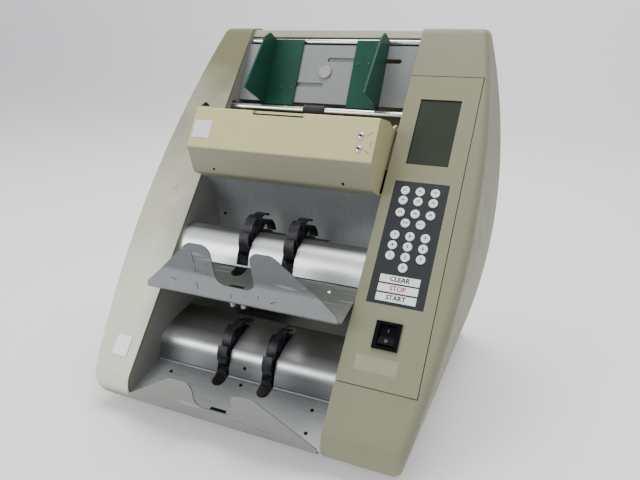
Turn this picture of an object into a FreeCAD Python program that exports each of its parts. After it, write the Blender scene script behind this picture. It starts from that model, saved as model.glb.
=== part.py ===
"""Two-pocket banknote counting machine, in millimetres.

X runs to the right as seen from the front, Y runs to the back and Z runs up.
The origin is the middle of the footprint, on the table.
"""
import FreeCAD, Part
import math
import os

from FreeCAD import Placement, Rotation, Vector

# Sloped front
FOOT_HEIGHT = 6.0
SLOPE_DEG = 40.0
TOP_DEPTH = 28.8
NOSE_RADIUS = 22.5
CROWN_RADIUS = 12.0
REAR_RADIUS = 10.0
BOW_RADIUS = 620.0
CHEEK_RADIUS = 8.0
SHELL_WALL = 3.2

# Widths across the front
POCKET_WIDTH = 200.7
LEFT_POD_WIDTH = 61.8
LID_WIDTH = 71.0
LID_STRIP = 18.5

# Stations up the slope, each measured from the one before
LOWER_POCKET_RISE = 70.8
POCKET_PITCH = 101.1
HOOD_RISE = 85.1
FEED_RISE = 100.5
PLATE_RISE = 12.8
TOP_MARGIN = 18.2

# Depths behind the sloped front
LOWER_POCKET_DEPTH = 37.7
UPPER_POCKET_DEPTH = 10.3
FEED_DEPTH = 14.6
PLATE_DEPTH = 20.1
ROD_DEPTH = 7.5
LID_START = 88.0

# Sheet metal and clearances
FRAME_THICKNESS = 2.0
BASE_THICKNESS = 2.0
SHEET = 1.2
COVER_SHEET = 1.5
RIM_GAP = 0.3
RUN_GAP = 0.05
MOVE_GAP = 0.3

# Drums and trays
RISER_REACH = 22.3
RISER_LEAN_DEG = 17.0
LOWER_BEND_RADIUS = 12.0
UPPER_BEND_RADIUS = 30.0
DRUM_CROWN_RADIUS = 143.0
DRUM_CROWN_START_DEG = 22.0
LOWER_CROWN_REACH = 53.3
UPPER_CROWN_REACH = 21.3
LOWER_FLOOR_SLOPE_DEG = 18.2
UPPER_FLOOR_SLOPE_DEG = 12.7
FLOOR_LENGTH = 52.0
FLOOR_TAIL = 8.0
DRUM_LIFT = 1.0
UPPER_FOOT_STRIP = 2.2
LIP_BEND_RADIUS = 2.0
LIP_SIDE_GAP = 2.3
LIP_TILT_DEG = 9.0
LOWER_LIP_HEIGHT = 42.0
UPPER_LIP_HEIGHT = 56.0
UPPER_STRIP_HEIGHT = 18.0
UPPER_EAR_TILT_DEG = 14.0
NOTCH_WIDTH = 40.0
NOTCH_FLOOR = 16.0
EAR_WIDTH = 22.0
LIP_TIP_HEIGHT = 6.0
LIP_CORNER_RADIUS = 9.0

# Stacker wheels, exit rollers and feed roller
WHEEL_SPACING = 49.0
WHEEL_WIDTH = 10.0
WHEEL_RADIUS = 31.5
WHEEL_HUB_RADIUS = 10.0
VANE_COUNT = 8
VANE_THICKNESS = 3.0
VANE_TIP = 1.4
VANE_SWEEP_DEG = 100.0
VANE_RISE = 0.68
VANE_PHASE_DEG = 19.0
SLOT_SIDE_GAP = 1.5
SLOT_FRONT_REACH = 14.0
LOWER_SLOT_END = 57.0
LOWER_WHEEL_BACK = 29.0
LOWER_WHEEL_UP = 10.5
UPPER_WHEEL_BACK = 33.6
UPPER_WHEEL_UP = 15.5
SHAFT_RADIUS = 3.0
SHAFT_END = 1.0
EXIT_ROLLER_RADIUS = 13.0
EXIT_ROLLER_WIDTH = 24.0
EXIT_ROLLER_GAP = 1.0
FEED_SHAFT_RADIUS = 3.6
FEED_ROLLER_RADIUS = 5.4
FEED_ROLLER_WIDTH = 24.0
BUSH_WALL = 3.0
BUSH_FLANGE = 2.5
BUSH_FLANGE_THICKNESS = 1.5

# Back sheet over the upper drum
BACK_SHEET_DROP = 7.4
BACK_SHEET_DEPTH = 4.6
BACK_SHEET_START_DEG = -45.0
BACK_SHEET_RADIUS = 91.0
BACK_SHEET_TURN_DEG = 37.0
BACK_SHEET_SKIRT = 38.0

# Hopper plate, rod and note guides
PLATE_LENGTH = 66.3
PLATE_LEAN_DEG = 26.8
PLATE_SHEET = 1.5
PLATE_FLANGE = 12.0
ROD_RADIUS = 3.0
ROD_BELOW_TOP = 11.9
GUIDE_SIDE_ROOM = 33.0
GUIDE_BASE_WIDTH = 36.0
GUIDE_SHEET = 2.0
GUIDE_BELOW = 4.0
GUIDE_ABOVE = 5.0
GUIDE_TOP_HEIGHT = 28.0
GUIDE_FOOT_HEIGHT = 49.0
GUIDE_TOP_CHAMFER = 9.0
GUIDE_OUT = 30.0
GUIDE_IN = 22.0
SLOT_WIDTH = 4.8
RIVET_SPACING = 12.0
RIVET_INSET = 5.2
PINION_TEETH = 20
GEAR_MODULE = 1.1
GEAR_BACKLASH = 0.4
RACK_BACK = 4.4
RACK_THICKNESS = 3.0
PINION_HEAD_RADIUS = 7.2
PINION_HEAD_HEIGHT = 2.0
PINION_AXLE_RADIUS = 3.0
PINION_UP = 35.0

# Hood, in slope and outward distances from its lower edge
HOOD_WALL = 2.5
HOOD_SIDE_GAP = 3.0
HOOD_HEIGHT = 75.0
HOOD_TOP_STATION = 58.1
HOOD_TOP_REACH = 47.7
HOOD_EDGE_STATION = 16.1
HOOD_EDGE_REACH = 41.6
HOOD_CHIN_REACH = 17.3
HOOD_SHOULDER_DROP = 3.7
HOOD_SHOULDER_REACH = 21.0
HOOD_EDGE_RADIUS = 4.0
HOOD_CHIN_RADIUS = 7.0
HOOD_SEAT_DEPTH = 2.2
HOOD_SEAT_STATION = 4.7
HOOD_PIVOT_RISE = 78.7
HOOD_PIVOT_DEPTH = 9.0
HOOD_LUG_RADIUS = 6.0
HOOD_PIN_RADIUS = 3.0
HOOD_RECESS_WIDTH = 55.0
HOOD_RECESS_DEPTH = 4.5
HOOD_RECESS_SHIFT = -5.0

# Console lid, from its lower edge up
LID_THICKNESS = 3.0
LID_SEAM = 0.8
LID_LEDGE = 3.5
LEDGE_THICKNESS = 2.5
SWITCH_MARGIN = 32.8
SWITCH_WIDTH = 22.5
SWITCH_HEIGHT = 24.3
SWITCH_TO_KEYPAD = 14.6
KEYPAD_TO_DISPLAY = 18.2
DISPLAY_WIDTH = 39.8
DISPLAY_HEIGHT = 71.7
DISPLAY_MARGIN = 26.5
DISPLAY_RECESS = 1.2
DISPLAY_RIM = 4.0
DISPLAY_THICKNESS = 4.0

# Keypad
KEY_DIAMETER = 8.3
KEY_GAP = 1.7
KEY_SIDE_GAP = 5.7
KEY_GROUP_GAP = 2.3
KEY_SIDE_MARGIN = 11.6
KEY_TOP_MARGIN = 9.4
KEY_TO_BAR = 4.0
BAR_WIDTH = 36.2
BAR_HEIGHT = 7.0
BAR_GAP = 1.5
BAR_MARGIN = 3.0
KEY_PROUD = 0.9
KEY_FLANGE = 1.0
KEY_FLANGE_GAP = 0.4
KEY_EDGE_RADIUS = 0.4
KEYPAD_THICKNESS = 1.4
KEYPAD_LEDGE = 1.6
KEYPAD_FIT = 0.2
FUNCTION_ROWS = ((3, 0), (3, 0), (3, 1), (2, 0))
DIGIT_ROWS = ("789", "456", "123", "0")

# Power rocker
BEZEL_PROUD = 2.0
BEZEL_DEPTH = 14.0
BEZEL_WALL = 1.5
ROCKER_WIDTH = 14.6
ROCKER_HALF_LENGTH = 8.6
ROCKER_CREST = 4.5
ROCKER_DISH = 1.3
ROCKER_DISH_RADIUS = 12.0
ROCKER_EDGE_RADIUS = 0.8
ROCKER_SKIRT = 3.5
ROCKER_PIVOT_DEPTH = 1.6
ROCKER_TILT_DEG = 8.0
ROCKER_PIN_RADIUS = 1.5
ROCKER_PIN_LENGTH = 1.2

# Board, rear cover, inlet and feet
BOARD_THICKNESS = 1.6
BOARD_MARGIN = 8.0
BOARD_POST_RADIUS = 3.0
BOARD_STANDOFF = 9.0
CHIP_HEIGHT = 2.2
CAPACITOR_RADIUS = 8.0
CAPACITOR_HEIGHT = 20.0
BASE_FLANGE = 14.0
BASE_SETBACK = 40.0
SHEET_BEND_RADIUS = 3.0
COVER_TOP_DROP = 1.7
COVER_TOP_LENGTH = 19.0
COVER_LIP = 8.0
COVER_LIP_TURN_DEG = 50.0
VENT_COUNT = 7
VENT_LENGTH = 60.0
VENT_WIDTH = 4.0
VENT_PITCH = 10.0
VENT_HEIGHT = 122.0
INLET_WIDTH = 30.0
INLET_HEIGHT = 24.0
INLET_FLANGE = 4.0
INLET_FLANGE_THICKNESS = 1.5
INLET_DEPTH = 22.0
INLET_WALL = 2.0
INLET_SIDE = 40.0
INLET_LIFT = 50.0
FOOT_RADIUS = 9.0
FOOT_TAPER = 1.0
FOOT_INSET = 17.0
FOOT_FRONT = 90.0
FOOT_REAR = 32.0

# Drive
PULLEY_RADIUS = 8.0
PULLEY_WIDTH = 8.0
PULLEY_FLANGE = 1.6
BELT_WIDTH = 6.0
BELT_THICKNESS = 1.2
BELT_OFFSET = 12.0
MOTOR_RADIUS = 28.0
MOTOR_LENGTH = 66.0
MOTOR_EDGE_RADIUS = 3.0
MOTOR_BACK = 70.0
MOTOR_UP = 62.0
MOTOR_BOSS_RADIUS = 9.0
MOTOR_BORE_DEPTH = 15.0

# Derived places
SLOPE = math.radians(SLOPE_DEG)
LEAN_IN_SLOPE = math.radians(SLOPE_DEG - PLATE_LEAN_DEG)
BODY_WIDTH = LEFT_POD_WIDTH + POCKET_WIDTH + LID_WIDTH + LID_STRIP
HALF_WIDTH = BODY_WIDTH / 2
WALL_LEFT = LEFT_POD_WIDTH - HALF_WIDTH
WALL_RIGHT = WALL_LEFT + POCKET_WIDTH
POCKET_MID = (WALL_LEFT + WALL_RIGHT) / 2
UPPER_POCKET_RISE = LOWER_POCKET_RISE + POCKET_PITCH
HOOD_START = UPPER_POCKET_RISE + HOOD_RISE
FEED_STATION = HOOD_START + FEED_RISE
PLATE_START = FEED_STATION + PLATE_RISE
FRONT_LENGTH = PLATE_START + PLATE_LENGTH * math.cos(LEAN_IN_SLOPE) + TOP_MARGIN
TOP_Z = FOOT_HEIGHT + FRONT_LENGTH * math.cos(SLOPE)
REAR_Y = FRONT_LENGTH * math.sin(SLOPE) + TOP_DEPTH
MID_Z = (TOP_Z + FOOT_HEIGHT) / 2
FAR = 2000.0

KEY_PITCH = KEY_DIAMETER + KEY_GAP
KEY_FLANGE_RADIUS = (KEY_PITCH - KEY_FLANGE_GAP) / 2
KEY_PITCH_X = KEY_DIAMETER + KEY_SIDE_GAP
BAR_PITCH = BAR_HEIGHT + BAR_GAP
KEYPAD_WIDTH = 2 * KEY_PITCH_X + 2 * KEY_SIDE_MARGIN
KEY_ROWS_HEIGHT = 7 * KEY_PITCH + 2 * KEY_GROUP_GAP
BARS_HEIGHT = KEY_DIAMETER / 2 + KEY_TO_BAR + 2 * BAR_PITCH + BAR_HEIGHT + BAR_MARGIN
KEYPAD_HEIGHT = KEY_TOP_MARGIN + KEY_ROWS_HEIGHT + BARS_HEIGHT
KEYPAD_START = SWITCH_MARGIN + SWITCH_HEIGHT + SWITCH_TO_KEYPAD
DISPLAY_START = KEYPAD_START + KEYPAD_HEIGHT + KEYPAD_TO_DISPLAY
LID_LENGTH = DISPLAY_START + DISPLAY_HEIGHT + DISPLAY_MARGIN
LID_MID = WALL_RIGHT + LID_WIDTH / 2
BEZEL_MID = SWITCH_MARGIN + SWITCH_HEIGHT / 2

PITCH_RADIUS = GEAR_MODULE * PINION_TEETH / 2
SHAFT_LEFT = WALL_LEFT - FRAME_THICKNESS - BELT_OFFSET - PULLEY_WIDTH
SHAFT_RIGHT = WALL_RIGHT + FRAME_THICKNESS + BUSH_FLANGE_THICKNESS + SHAFT_END

# Frames of reference: profiles across the body, the sloped front and the hopper plate
ACROSS = Rotation(Vector(1, 1, 1), 120)
UPRIGHT = Rotation(Vector(1, 0, 0), 90)
FRONT = Placement(Vector(0, 0, FOOT_HEIGHT), Rotation(Vector(1, 0, 0), 90 - SLOPE_DEG))


def on_slope(station, out, x=0.0):
    """Point a distance up the sloped front and a distance outward from it."""
    y = station * math.sin(SLOPE) - out * math.cos(SLOPE)
    z = FOOT_HEIGHT + station * math.cos(SLOPE) + out * math.sin(SLOPE)
    return Vector(x, y, z)


def flat(a, b):
    """Point of a profile, in the profile's own plane."""
    return Vector(a, b, 0)


def polar(radius, degrees):
    """Profile point at a radius and an angle."""
    return flat(radius * math.cos(math.radians(degrees)), radius * math.sin(math.radians(degrees)))


def line(p, q):
    """Straight edge between two points."""
    return Part.LineSegment(p, q).toShape()


def arc(p, middle, q):
    """Round edge through three points."""
    return Part.Arc(p, middle, q).toShape()


def closed_face(edges):
    """Face inside a loop of edges."""
    return Part.Face(Part.Wire(Part.__sortEdges__(edges)))


def rounded_face(points, radii):
    """Face of a polygon whose corners are rounded by the given radii."""
    starts, ends, edges = [], [], []
    count = len(points)
    for i, corner in enumerate(points):
        back = (points[i - 1] - corner).normalize()
        ahead = (points[(i + 1) % count] - corner).normalize()
        half = back.getAngle(ahead) / 2
        reach = radii[i] / math.tan(half)
        starts.append(corner + back * reach)
        ends.append(corner + ahead * reach)
        if radii[i] > 0:
            bisector = (back + ahead).normalize()
            middle = corner + bisector * (radii[i] / math.sin(half) - radii[i])
            edges.append(arc(starts[i], middle, ends[i]))
    for i in range(count):
        if ends[i - 1].distanceToPoint(starts[i]) > 1e-6:
            edges.append(line(ends[i - 1], starts[i]))
    return closed_face(edges)


def walk(start, heading, steps, offset):
    """Edges and both ends of a walk of lines and arcs, moved to its left by an offset.

    A step is (length, 0) for a line, or (radius, turn) for an arc that turns left when positive.
    """
    here = start + polar(offset, heading + 90)
    first = here
    edges = []
    for size, turn in steps:
        if turn == 0:
            there = here + polar(size, heading)
            edges.append(line(here, there))
        else:
            side = math.copysign(1.0, turn)
            radius = size - side * offset
            centre = here + polar(side * radius, heading + 90)
            middle = centre - polar(side * radius, heading + turn / 2 + 90)
            heading += turn
            there = centre - polar(side * radius, heading + 90)
            edges.append(arc(here, middle, there))
        here = there
    return edges, first, here


def sheet_face(start, heading, steps, thickness):
    """Section of a bent sheet, on the left of its walk or on the right for a negative thickness."""
    edges, first, last = walk(start, heading, steps, 0.0)
    far_edges, far_first, far_last = walk(start, heading, steps, thickness)
    return closed_face(edges + far_edges + [line(first, far_first), line(last, far_last)])


def across(face, x0, x1):
    """Solid of a Y-Z profile between two X planes."""
    solid = face.extrude(Vector(0, 0, x1 - x0))
    solid.Placement = Placement(Vector(x0, 0, 0), ACROSS)
    return solid


def upright(face, y0, y1):
    """Solid of an X-Z profile between two Y planes."""
    solid = face.extrude(Vector(0, 0, y1 - y0))
    solid.Placement = Placement(Vector(0, y1, 0), UPRIGHT)
    return solid


def box(x0, x1, y0, y1, z0, z1):
    return Part.makeBox(x1 - x0, y1 - y0, z1 - z0, Vector(x0, y0, z0))


def moved(shape, placement):
    """The shape carried into a placement's frame."""
    result = shape.copy()
    result.Placement = placement.multiply(result.Placement)
    return result


def rod(axis, radius, x0, x1):
    """Cylinder along X through a point."""
    return Part.makeCylinder(radius, x1 - x0, Vector(x0, axis.y, axis.z), Vector(1, 0, 0))


def joined(shapes):
    """One clean solid from touching shapes."""
    return shapes[0].multiFuse(shapes[1:]).removeSplitter()


LOWER_JOINT = on_slope(LOWER_POCKET_RISE, -LOWER_POCKET_DEPTH)
UPPER_JOINT = on_slope(UPPER_POCKET_RISE, -UPPER_POCKET_DEPTH)
LOWER_AXIS = LOWER_JOINT + Vector(0, LOWER_WHEEL_BACK, LOWER_WHEEL_UP)
UPPER_AXIS = UPPER_JOINT + Vector(0, UPPER_WHEEL_BACK, UPPER_WHEEL_UP)
FEED_AXIS = on_slope(FEED_STATION, -FEED_DEPTH)
MOTOR_AXIS = Vector(0, REAR_Y - MOTOR_BACK, FOOT_HEIGHT + MOTOR_UP)
HOOD_AXIS = on_slope(HOOD_START + HOOD_PIVOT_RISE, -HOOD_PIVOT_DEPTH)
ROCKER_AXIS = on_slope(LID_START + BEZEL_MID, BEZEL_PROUD - ROCKER_CREST - ROCKER_PIVOT_DEPTH, LID_MID)
ROD_AXIS = on_slope(FRONT_LENGTH - ROD_BELOW_TOP, -ROD_DEPTH)
PLATE_FOOT = on_slope(PLATE_START, -PLATE_DEPTH)
PLATE = Placement(PLATE_FOOT, Rotation(Vector(1, 0, 0), 90 - PLATE_LEAN_DEG))
WHEEL_PLACES = (POCKET_MID - WHEEL_SPACING / 2, POCKET_MID + WHEEL_SPACING / 2)


def side_face(inset):
    """Side profile of the body, drawn in by an inset."""
    low = FOOT_HEIGHT + inset
    high = TOP_Z - inset
    front_low = inset * (1 + math.sin(SLOPE)) / math.cos(SLOPE)
    front_high = ((high - FOOT_HEIGHT) * math.sin(SLOPE) + inset) / math.cos(SLOPE)
    corners = [flat(front_low, low), flat(REAR_Y - inset, low),
               flat(REAR_Y - inset, high), flat(front_high, high)]
    radii = [NOSE_RADIUS - inset, REAR_RADIUS - inset, REAR_RADIUS - inset, CROWN_RADIUS - inset]
    return rounded_face(corners, radii)


def pod_body(side, inset):
    """Solid form of a pod, on the right for side 1 and on the left for side -1."""
    inner = (WALL_RIGHT if side > 0 else WALL_LEFT) - side * inset
    centre = side * (HALF_WIDTH - BOW_RADIUS)
    radius = BOW_RADIUS - inset
    half_height = (TOP_Z - FOOT_HEIGHT) / 2 + NOSE_RADIUS
    edge_x = centre + side * math.sqrt(radius ** 2 - half_height ** 2)
    corners = [flat(inner, MID_Z - half_height), flat(edge_x, MID_Z - half_height),
               flat(edge_x, MID_Z + half_height), flat(inner, MID_Z + half_height)]
    bow = arc(corners[1], flat(centre + side * radius, MID_Z), corners[2])
    edges = [line(corners[0], corners[1]), bow, line(corners[2], corners[3]), line(corners[3], corners[0])]
    barrel = upright(closed_face(edges), 0, FAR)
    slab = across(side_face(inset), min(inner, side * HALF_WIDTH), max(inner, side * HALF_WIDTH))
    body = slab.common(barrel)
    cheek = max(body.Faces, key=lambda face: side * face.CenterOfMass.x)
    return body.makeFillet(CHEEK_RADIUS - inset, cheek.OuterWire.Edges)


def front_box(x0, x1, station0, station1, out0, out1):
    """Block between two stations up the sloped front and two distances outward."""
    return moved(box(x0, x1, station0, station1, out0, out1), FRONT)


def make_left_pod():
    return pod_body(-1, 0.0).cut(pod_body(-1, SHELL_WALL))


def make_right_pod():
    """Right pod with a stepped opening that seats the console lid."""
    body = pod_body(1, 0.0)
    shell = body.cut(pod_body(1, SHELL_WALL))
    right = WALL_RIGHT + LID_WIDTH
    top = LID_START + LID_LENGTH
    frame_side = WALL_RIGHT + FRAME_THICKNESS + RIM_GAP
    border = LID_SEAM + LID_LEDGE
    ledge = front_box(frame_side, right + border, LID_START - border, top + border,
                      -LID_THICKNESS - LEDGE_THICKNESS, 0)
    seat = front_box(WALL_RIGHT - 1, right + LID_SEAM, LID_START - LID_SEAM, top + LID_SEAM,
                     -LID_THICKNESS, FAR)
    hole = front_box(WALL_RIGHT - 1, right - LID_LEDGE, LID_START + LID_LEDGE, top - LID_LEDGE,
                     -SHELL_WALL - LEDGE_THICKNESS - 1, 0)
    edge = front_box(WALL_RIGHT - 1, frame_side, LID_START - LID_SEAM, top + LID_SEAM, -SHELL_WALL - 1, 0)
    return shell.fuse(ledge.common(body)).cut(seat).cut(hole).cut(edge).removeSplitter()


def make_side_frame(side):
    """Side plate with seats for the bushes and the hood pins."""
    x0 = WALL_RIGHT if side > 0 else WALL_LEFT - FRAME_THICKNESS
    x1 = x0 + FRAME_THICKNESS
    holes = [rod(HOOD_AXIS, HOOD_PIN_RADIUS + RUN_GAP, x0, x1)]
    for axis, radius in bearing_places():
        holes.append(rod(axis, radius + BUSH_WALL + RUN_GAP, x0, x1))
    if side < 0:
        holes.append(rod(MOTOR_AXIS, MOTOR_BOSS_RADIUS, x0, x1))
    return across(side_face(SHELL_WALL + RIM_GAP), x0, x1).cut(holes)


def bearing_places():
    """Axis and shaft radius of each shaft that runs in the side frames."""
    return ((LOWER_AXIS, SHAFT_RADIUS), (UPPER_AXIS, SHAFT_RADIUS), (FEED_AXIS, FEED_SHAFT_RADIUS))


def make_bearings():
    """Flanged bushes, one in each frame for each shaft."""
    bushes = []
    for axis, radius in bearing_places():
        for side, wall in ((-1, WALL_LEFT), (1, WALL_RIGHT)):
            outer = wall + side * FRAME_THICKNESS
            end = outer + side * BUSH_FLANGE_THICKNESS
            sleeve = rod(axis, radius + BUSH_WALL, min(wall, outer), max(wall, outer))
            flange = rod(axis, radius + BUSH_WALL + BUSH_FLANGE, min(outer, end), max(outer, end))
            bore = rod(axis, radius + RUN_GAP, min(wall, end) - 1, max(wall, end) + 1)
            bushes.append(joined([sleeve, flange]).cut(bore))
    return Part.makeCompound(bushes)


def make_base_plate():
    """Folded pan between the side frames."""
    bend = (SHEET_BEND_RADIUS, 90)
    rise = BASE_FLANGE - SHEET_BEND_RADIUS
    steps = [(rise, 0), bend, (POCKET_WIDTH - 2 * SHEET_BEND_RADIUS, 0), bend, (rise, 0)]
    face = sheet_face(flat(WALL_LEFT, FOOT_HEIGHT + BASE_FLANGE), -90, steps, BASE_THICKNESS)
    return upright(face, BASE_SETBACK + NOSE_RADIUS, REAR_Y - COVER_SHEET)


def make_feet():
    """Four rubber feet under the pods."""
    feet = []
    for x in (WALL_LEFT - FOOT_INSET, WALL_RIGHT + FOOT_INSET):
        for y in (FOOT_FRONT, REAR_Y - FOOT_REAR):
            foot = Part.makeCone(FOOT_RADIUS - FOOT_TAPER, FOOT_RADIUS, FOOT_HEIGHT, Vector(x, y, 0))
            feet.append(foot)
    return Part.makeCompound(feet)


def slot_solid(x, y, length, width, depth):
    """Round-ended bar along X, centred on a point, standing from -depth to depth in Z."""
    half = (length - width) / 2
    bar = box(x - half, x + half, y - width / 2, y + width / 2, -depth, depth)
    ends = [Part.makeCylinder(width / 2, 2 * depth, Vector(x + s * half, y, -depth)) for s in (-1, 1)]
    return joined([bar] + ends)


def make_rear_cover():
    """Rear sheet with vents, folded over the top and down in a lip above the hopper."""
    rise = TOP_Z - COVER_TOP_DROP - FOOT_HEIGHT - SHEET_BEND_RADIUS
    steps = [(rise, 0), (SHEET_BEND_RADIUS, 90), (COVER_TOP_LENGTH, 0),
             (SHEET_BEND_RADIUS, COVER_LIP_TURN_DEG), (COVER_LIP, 0)]
    cover = across(sheet_face(flat(REAR_Y, FOOT_HEIGHT), 90, steps, COVER_SHEET), WALL_LEFT, WALL_RIGHT)
    cuts = [inlet_box(INLET_WIDTH, INLET_HEIGHT, -INLET_DEPTH, 1)]
    for i in range(VENT_COUNT):
        for side in (-1, 1):
            x = POCKET_MID + side * VENT_LENGTH * 0.75
            vent = slot_solid(x, 0, VENT_LENGTH, VENT_WIDTH, 2 * COVER_SHEET)
            height = FOOT_HEIGHT + VENT_HEIGHT + i * VENT_PITCH
            cuts.append(moved(vent, Placement(Vector(0, REAR_Y, height), UPRIGHT)))
    return cover.cut(cuts)


def inlet_box(width, height, y0, y1):
    """Block at the power inlet, between two distances behind the rear face."""
    x = POCKET_MID + INLET_SIDE
    z = FOOT_HEIGHT + INLET_LIFT
    return box(x - width / 2, x + width / 2, REAR_Y + y0, REAR_Y + y1, z - height / 2, z + height / 2)


def make_power_inlet():
    """Flanged three-pin inlet with a recessed socket."""
    body = inlet_box(INLET_WIDTH - 2 * RIM_GAP, INLET_HEIGHT - 2 * RIM_GAP, -INLET_DEPTH, 0)
    rim = 2 * INLET_FLANGE
    flange = inlet_box(INLET_WIDTH + rim, INLET_HEIGHT + rim, 0, INLET_FLANGE_THICKNESS)
    wall = 2 * INLET_WALL
    socket = inlet_box(INLET_WIDTH - wall, INLET_HEIGHT - wall, INLET_WALL - INLET_DEPTH,
                       INLET_FLANGE_THICKNESS)
    inlet = joined([body, flange]).cut(socket)
    pins = []
    for side, lift in ((-1, 0), (0, 1), (1, 0)):
        pin = inlet_box(INLET_WALL, 2 * INLET_WALL, -INLET_DEPTH + 1, -INLET_WALL)
        pin.translate(Vector(side * INLET_WIDTH / 4, 0, (2 * lift - 1) * INLET_HEIGHT / 8))
        pins.append(pin)
    return joined([inlet] + pins)


def drum_steps(bend_radius, crown_reach):
    """Bent sheet walk of a drum: leaning riser, round nose, long gentle crown.

    Riser and crown reach to the corner where they would meet without the nose.
    """
    riser_heading = 90 - RISER_LEAN_DEG
    turn = DRUM_CROWN_START_DEG - riser_heading
    setback = bend_radius * math.tan(math.radians(-turn / 2))
    crown = crown_reach - setback
    return riser_heading, [
        (RISER_REACH - setback, 0),
        (bend_radius, turn),
        (DRUM_CROWN_RADIUS, -math.degrees(crown / DRUM_CROWN_RADIUS))]


def wheel_slots(joint, back):
    """Round-ended slots through floor and drum for the two stacker wheels."""
    width = WHEEL_WIDTH + 2 * SLOT_SIDE_GAP
    length = SLOT_FRONT_REACH + back
    slots = []
    for x in WHEEL_PLACES:
        slot = slot_solid(0, 0, length, width, FAR / 2)
        middle = Vector(x, joint.y - SLOT_FRONT_REACH + length / 2, 0)
        turned = Placement(middle, Rotation(Vector(0, 0, 1), 90))
        slots.append(moved(slot, turned))
    return slots


def make_drum(joint, bend_radius, crown_reach, slot_back, foot_strip=0):
    """Drum sheet standing on the back of its tray's floor."""
    heading, steps = drum_steps(bend_radius, crown_reach)
    start = flat(joint.y, joint.z) + polar(DRUM_LIFT, heading)
    sheet = across(sheet_face(start, heading, steps, -SHEET), WALL_LEFT, WALL_RIGHT)
    slots = wheel_slots(joint, slot_back)
    for slot in slots:
        slot.translate(Vector(0, 0, joint.z + foot_strip + FAR / 2))
    return sheet.cut(slots)


def lip_face(low, height):
    """Front view of a tray's lip: two ears, a rounded notch and sides that fall to low tips."""
    half = POCKET_WIDTH / 2 - LIP_SIDE_GAP
    notch = NOTCH_WIDTH / 2
    ear = notch + EAR_WIDTH
    right = [flat(POCKET_MID + notch, low + NOTCH_FLOOR), flat(POCKET_MID + notch, low + height),
             flat(POCKET_MID + ear, low + height), flat(POCKET_MID + half, low + LIP_TIP_HEIGHT),
             flat(POCKET_MID + half, low - height)]
    left = [flat(2 * POCKET_MID - p.x, p.y) for p in reversed(right)]
    tip = LIP_CORNER_RADIUS / 3
    radii = [LIP_CORNER_RADIUS, LIP_CORNER_RADIUS, LIP_CORNER_RADIUS, tip, 0]
    return rounded_face(right + left, radii + radii[::-1])


def make_tray(joint, floor_slope, lip_steps, lip_height, slot_back):
    """Tray sheet: floor between the side frames, and a notched lip at the front."""
    forward = 180 + floor_slope
    start = flat(joint.y, joint.z) - polar(FLOOR_TAIL, forward)
    floor = [(FLOOR_TAIL + FLOOR_LENGTH - LIP_BEND_RADIUS, 0)]
    bend = [(LIP_BEND_RADIUS, lip_steps[0] - forward)]
    floor_sheet = across(sheet_face(start, forward, floor, SHEET), WALL_LEFT, WALL_RIGHT)
    whole = across(sheet_face(start, forward, floor + bend + lip_steps[1], SHEET), WALL_LEFT, WALL_RIGHT)
    low = joint.z - FLOOR_LENGTH * math.sin(math.radians(floor_slope))
    lip = whole.common(upright(lip_face(low, lip_height), -FAR, joint.y + FLOOR_TAIL + 1))
    return joined([floor_sheet, lip]).cut(wheel_slots(joint, slot_back))


def make_lower_tray():
    steps = (90 + LIP_TILT_DEG, [(LOWER_LIP_HEIGHT + LIP_CORNER_RADIUS, 0)])
    return make_tray(LOWER_JOINT, LOWER_FLOOR_SLOPE_DEG, steps, LOWER_LIP_HEIGHT, LOWER_SLOT_END)


def make_upper_tray():
    """Upper tray, whose ears fold forward from an upright strip."""
    steps = (90, [(UPPER_STRIP_HEIGHT, 0), (SHEET_BEND_RADIUS, UPPER_EAR_TILT_DEG), (UPPER_LIP_HEIGHT, 0)])
    return make_tray(UPPER_JOINT, UPPER_FLOOR_SLOPE_DEG, steps, UPPER_LIP_HEIGHT, upper_slot_end())


def upper_slot_end():
    """How far back the upper slots run: past the drum's rear edge."""
    return UPPER_WHEEL_BACK + WHEEL_RADIUS


def make_back_sheet():
    """Curved sheet from under the hood down behind the upper drum."""
    start = on_slope(HOOD_START + BACK_SHEET_DROP, -BACK_SHEET_DEPTH)
    steps = [(BACK_SHEET_RADIUS, -BACK_SHEET_TURN_DEG), (BACK_SHEET_SKIRT, 0)]
    face = sheet_face(flat(start.y, start.z), BACK_SHEET_START_DEG, steps, SHEET)
    return across(face, WALL_LEFT, WALL_RIGHT)


def vane_face():
    """Section of one stacker vane: it leaves the hub steeply and then trails along the rim to a thin tip."""
    root = WHEEL_HUB_RADIUS - VANE_THICKNESS / 2
    middle = root + (WHEEL_RADIUS - root) * VANE_RISE
    half = VANE_SWEEP_DEG / 2
    root_turn = math.degrees(VANE_THICKNESS / root)
    outer = [polar(root, 0), polar(middle, -half), polar(WHEEL_RADIUS, -VANE_SWEEP_DEG)]
    inner = [polar(root, -root_turn), polar(middle - VANE_THICKNESS, -half),
             polar(WHEEL_RADIUS - VANE_TIP, -VANE_SWEEP_DEG)]
    return closed_face([arc(*outer), arc(*inner), line(outer[0], inner[0]), line(outer[2], inner[2])])


def make_wheels(axis):
    """Pair of stacker wheels: a hub with a ring of swept vanes."""
    wheels = []
    for x in WHEEL_PLACES:
        shapes = [Part.makeCylinder(WHEEL_HUB_RADIUS, WHEEL_WIDTH)]
        for i in range(VANE_COUNT):
            vane = vane_face().extrude(Vector(0, 0, WHEEL_WIDTH))
            vane.rotate(Vector(0, 0, 0), Vector(0, 0, 1), VANE_PHASE_DEG + i * 360.0 / VANE_COUNT)
            shapes.append(vane)
        wheel = joined(shapes).cut(Part.makeCylinder(SHAFT_RADIUS + RUN_GAP, WHEEL_WIDTH))
        wheel.Placement = Placement(Vector(x - WHEEL_WIDTH / 2, axis.y, axis.z), ACROSS)
        wheels.append(wheel)
    return Part.makeCompound(wheels)


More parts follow.
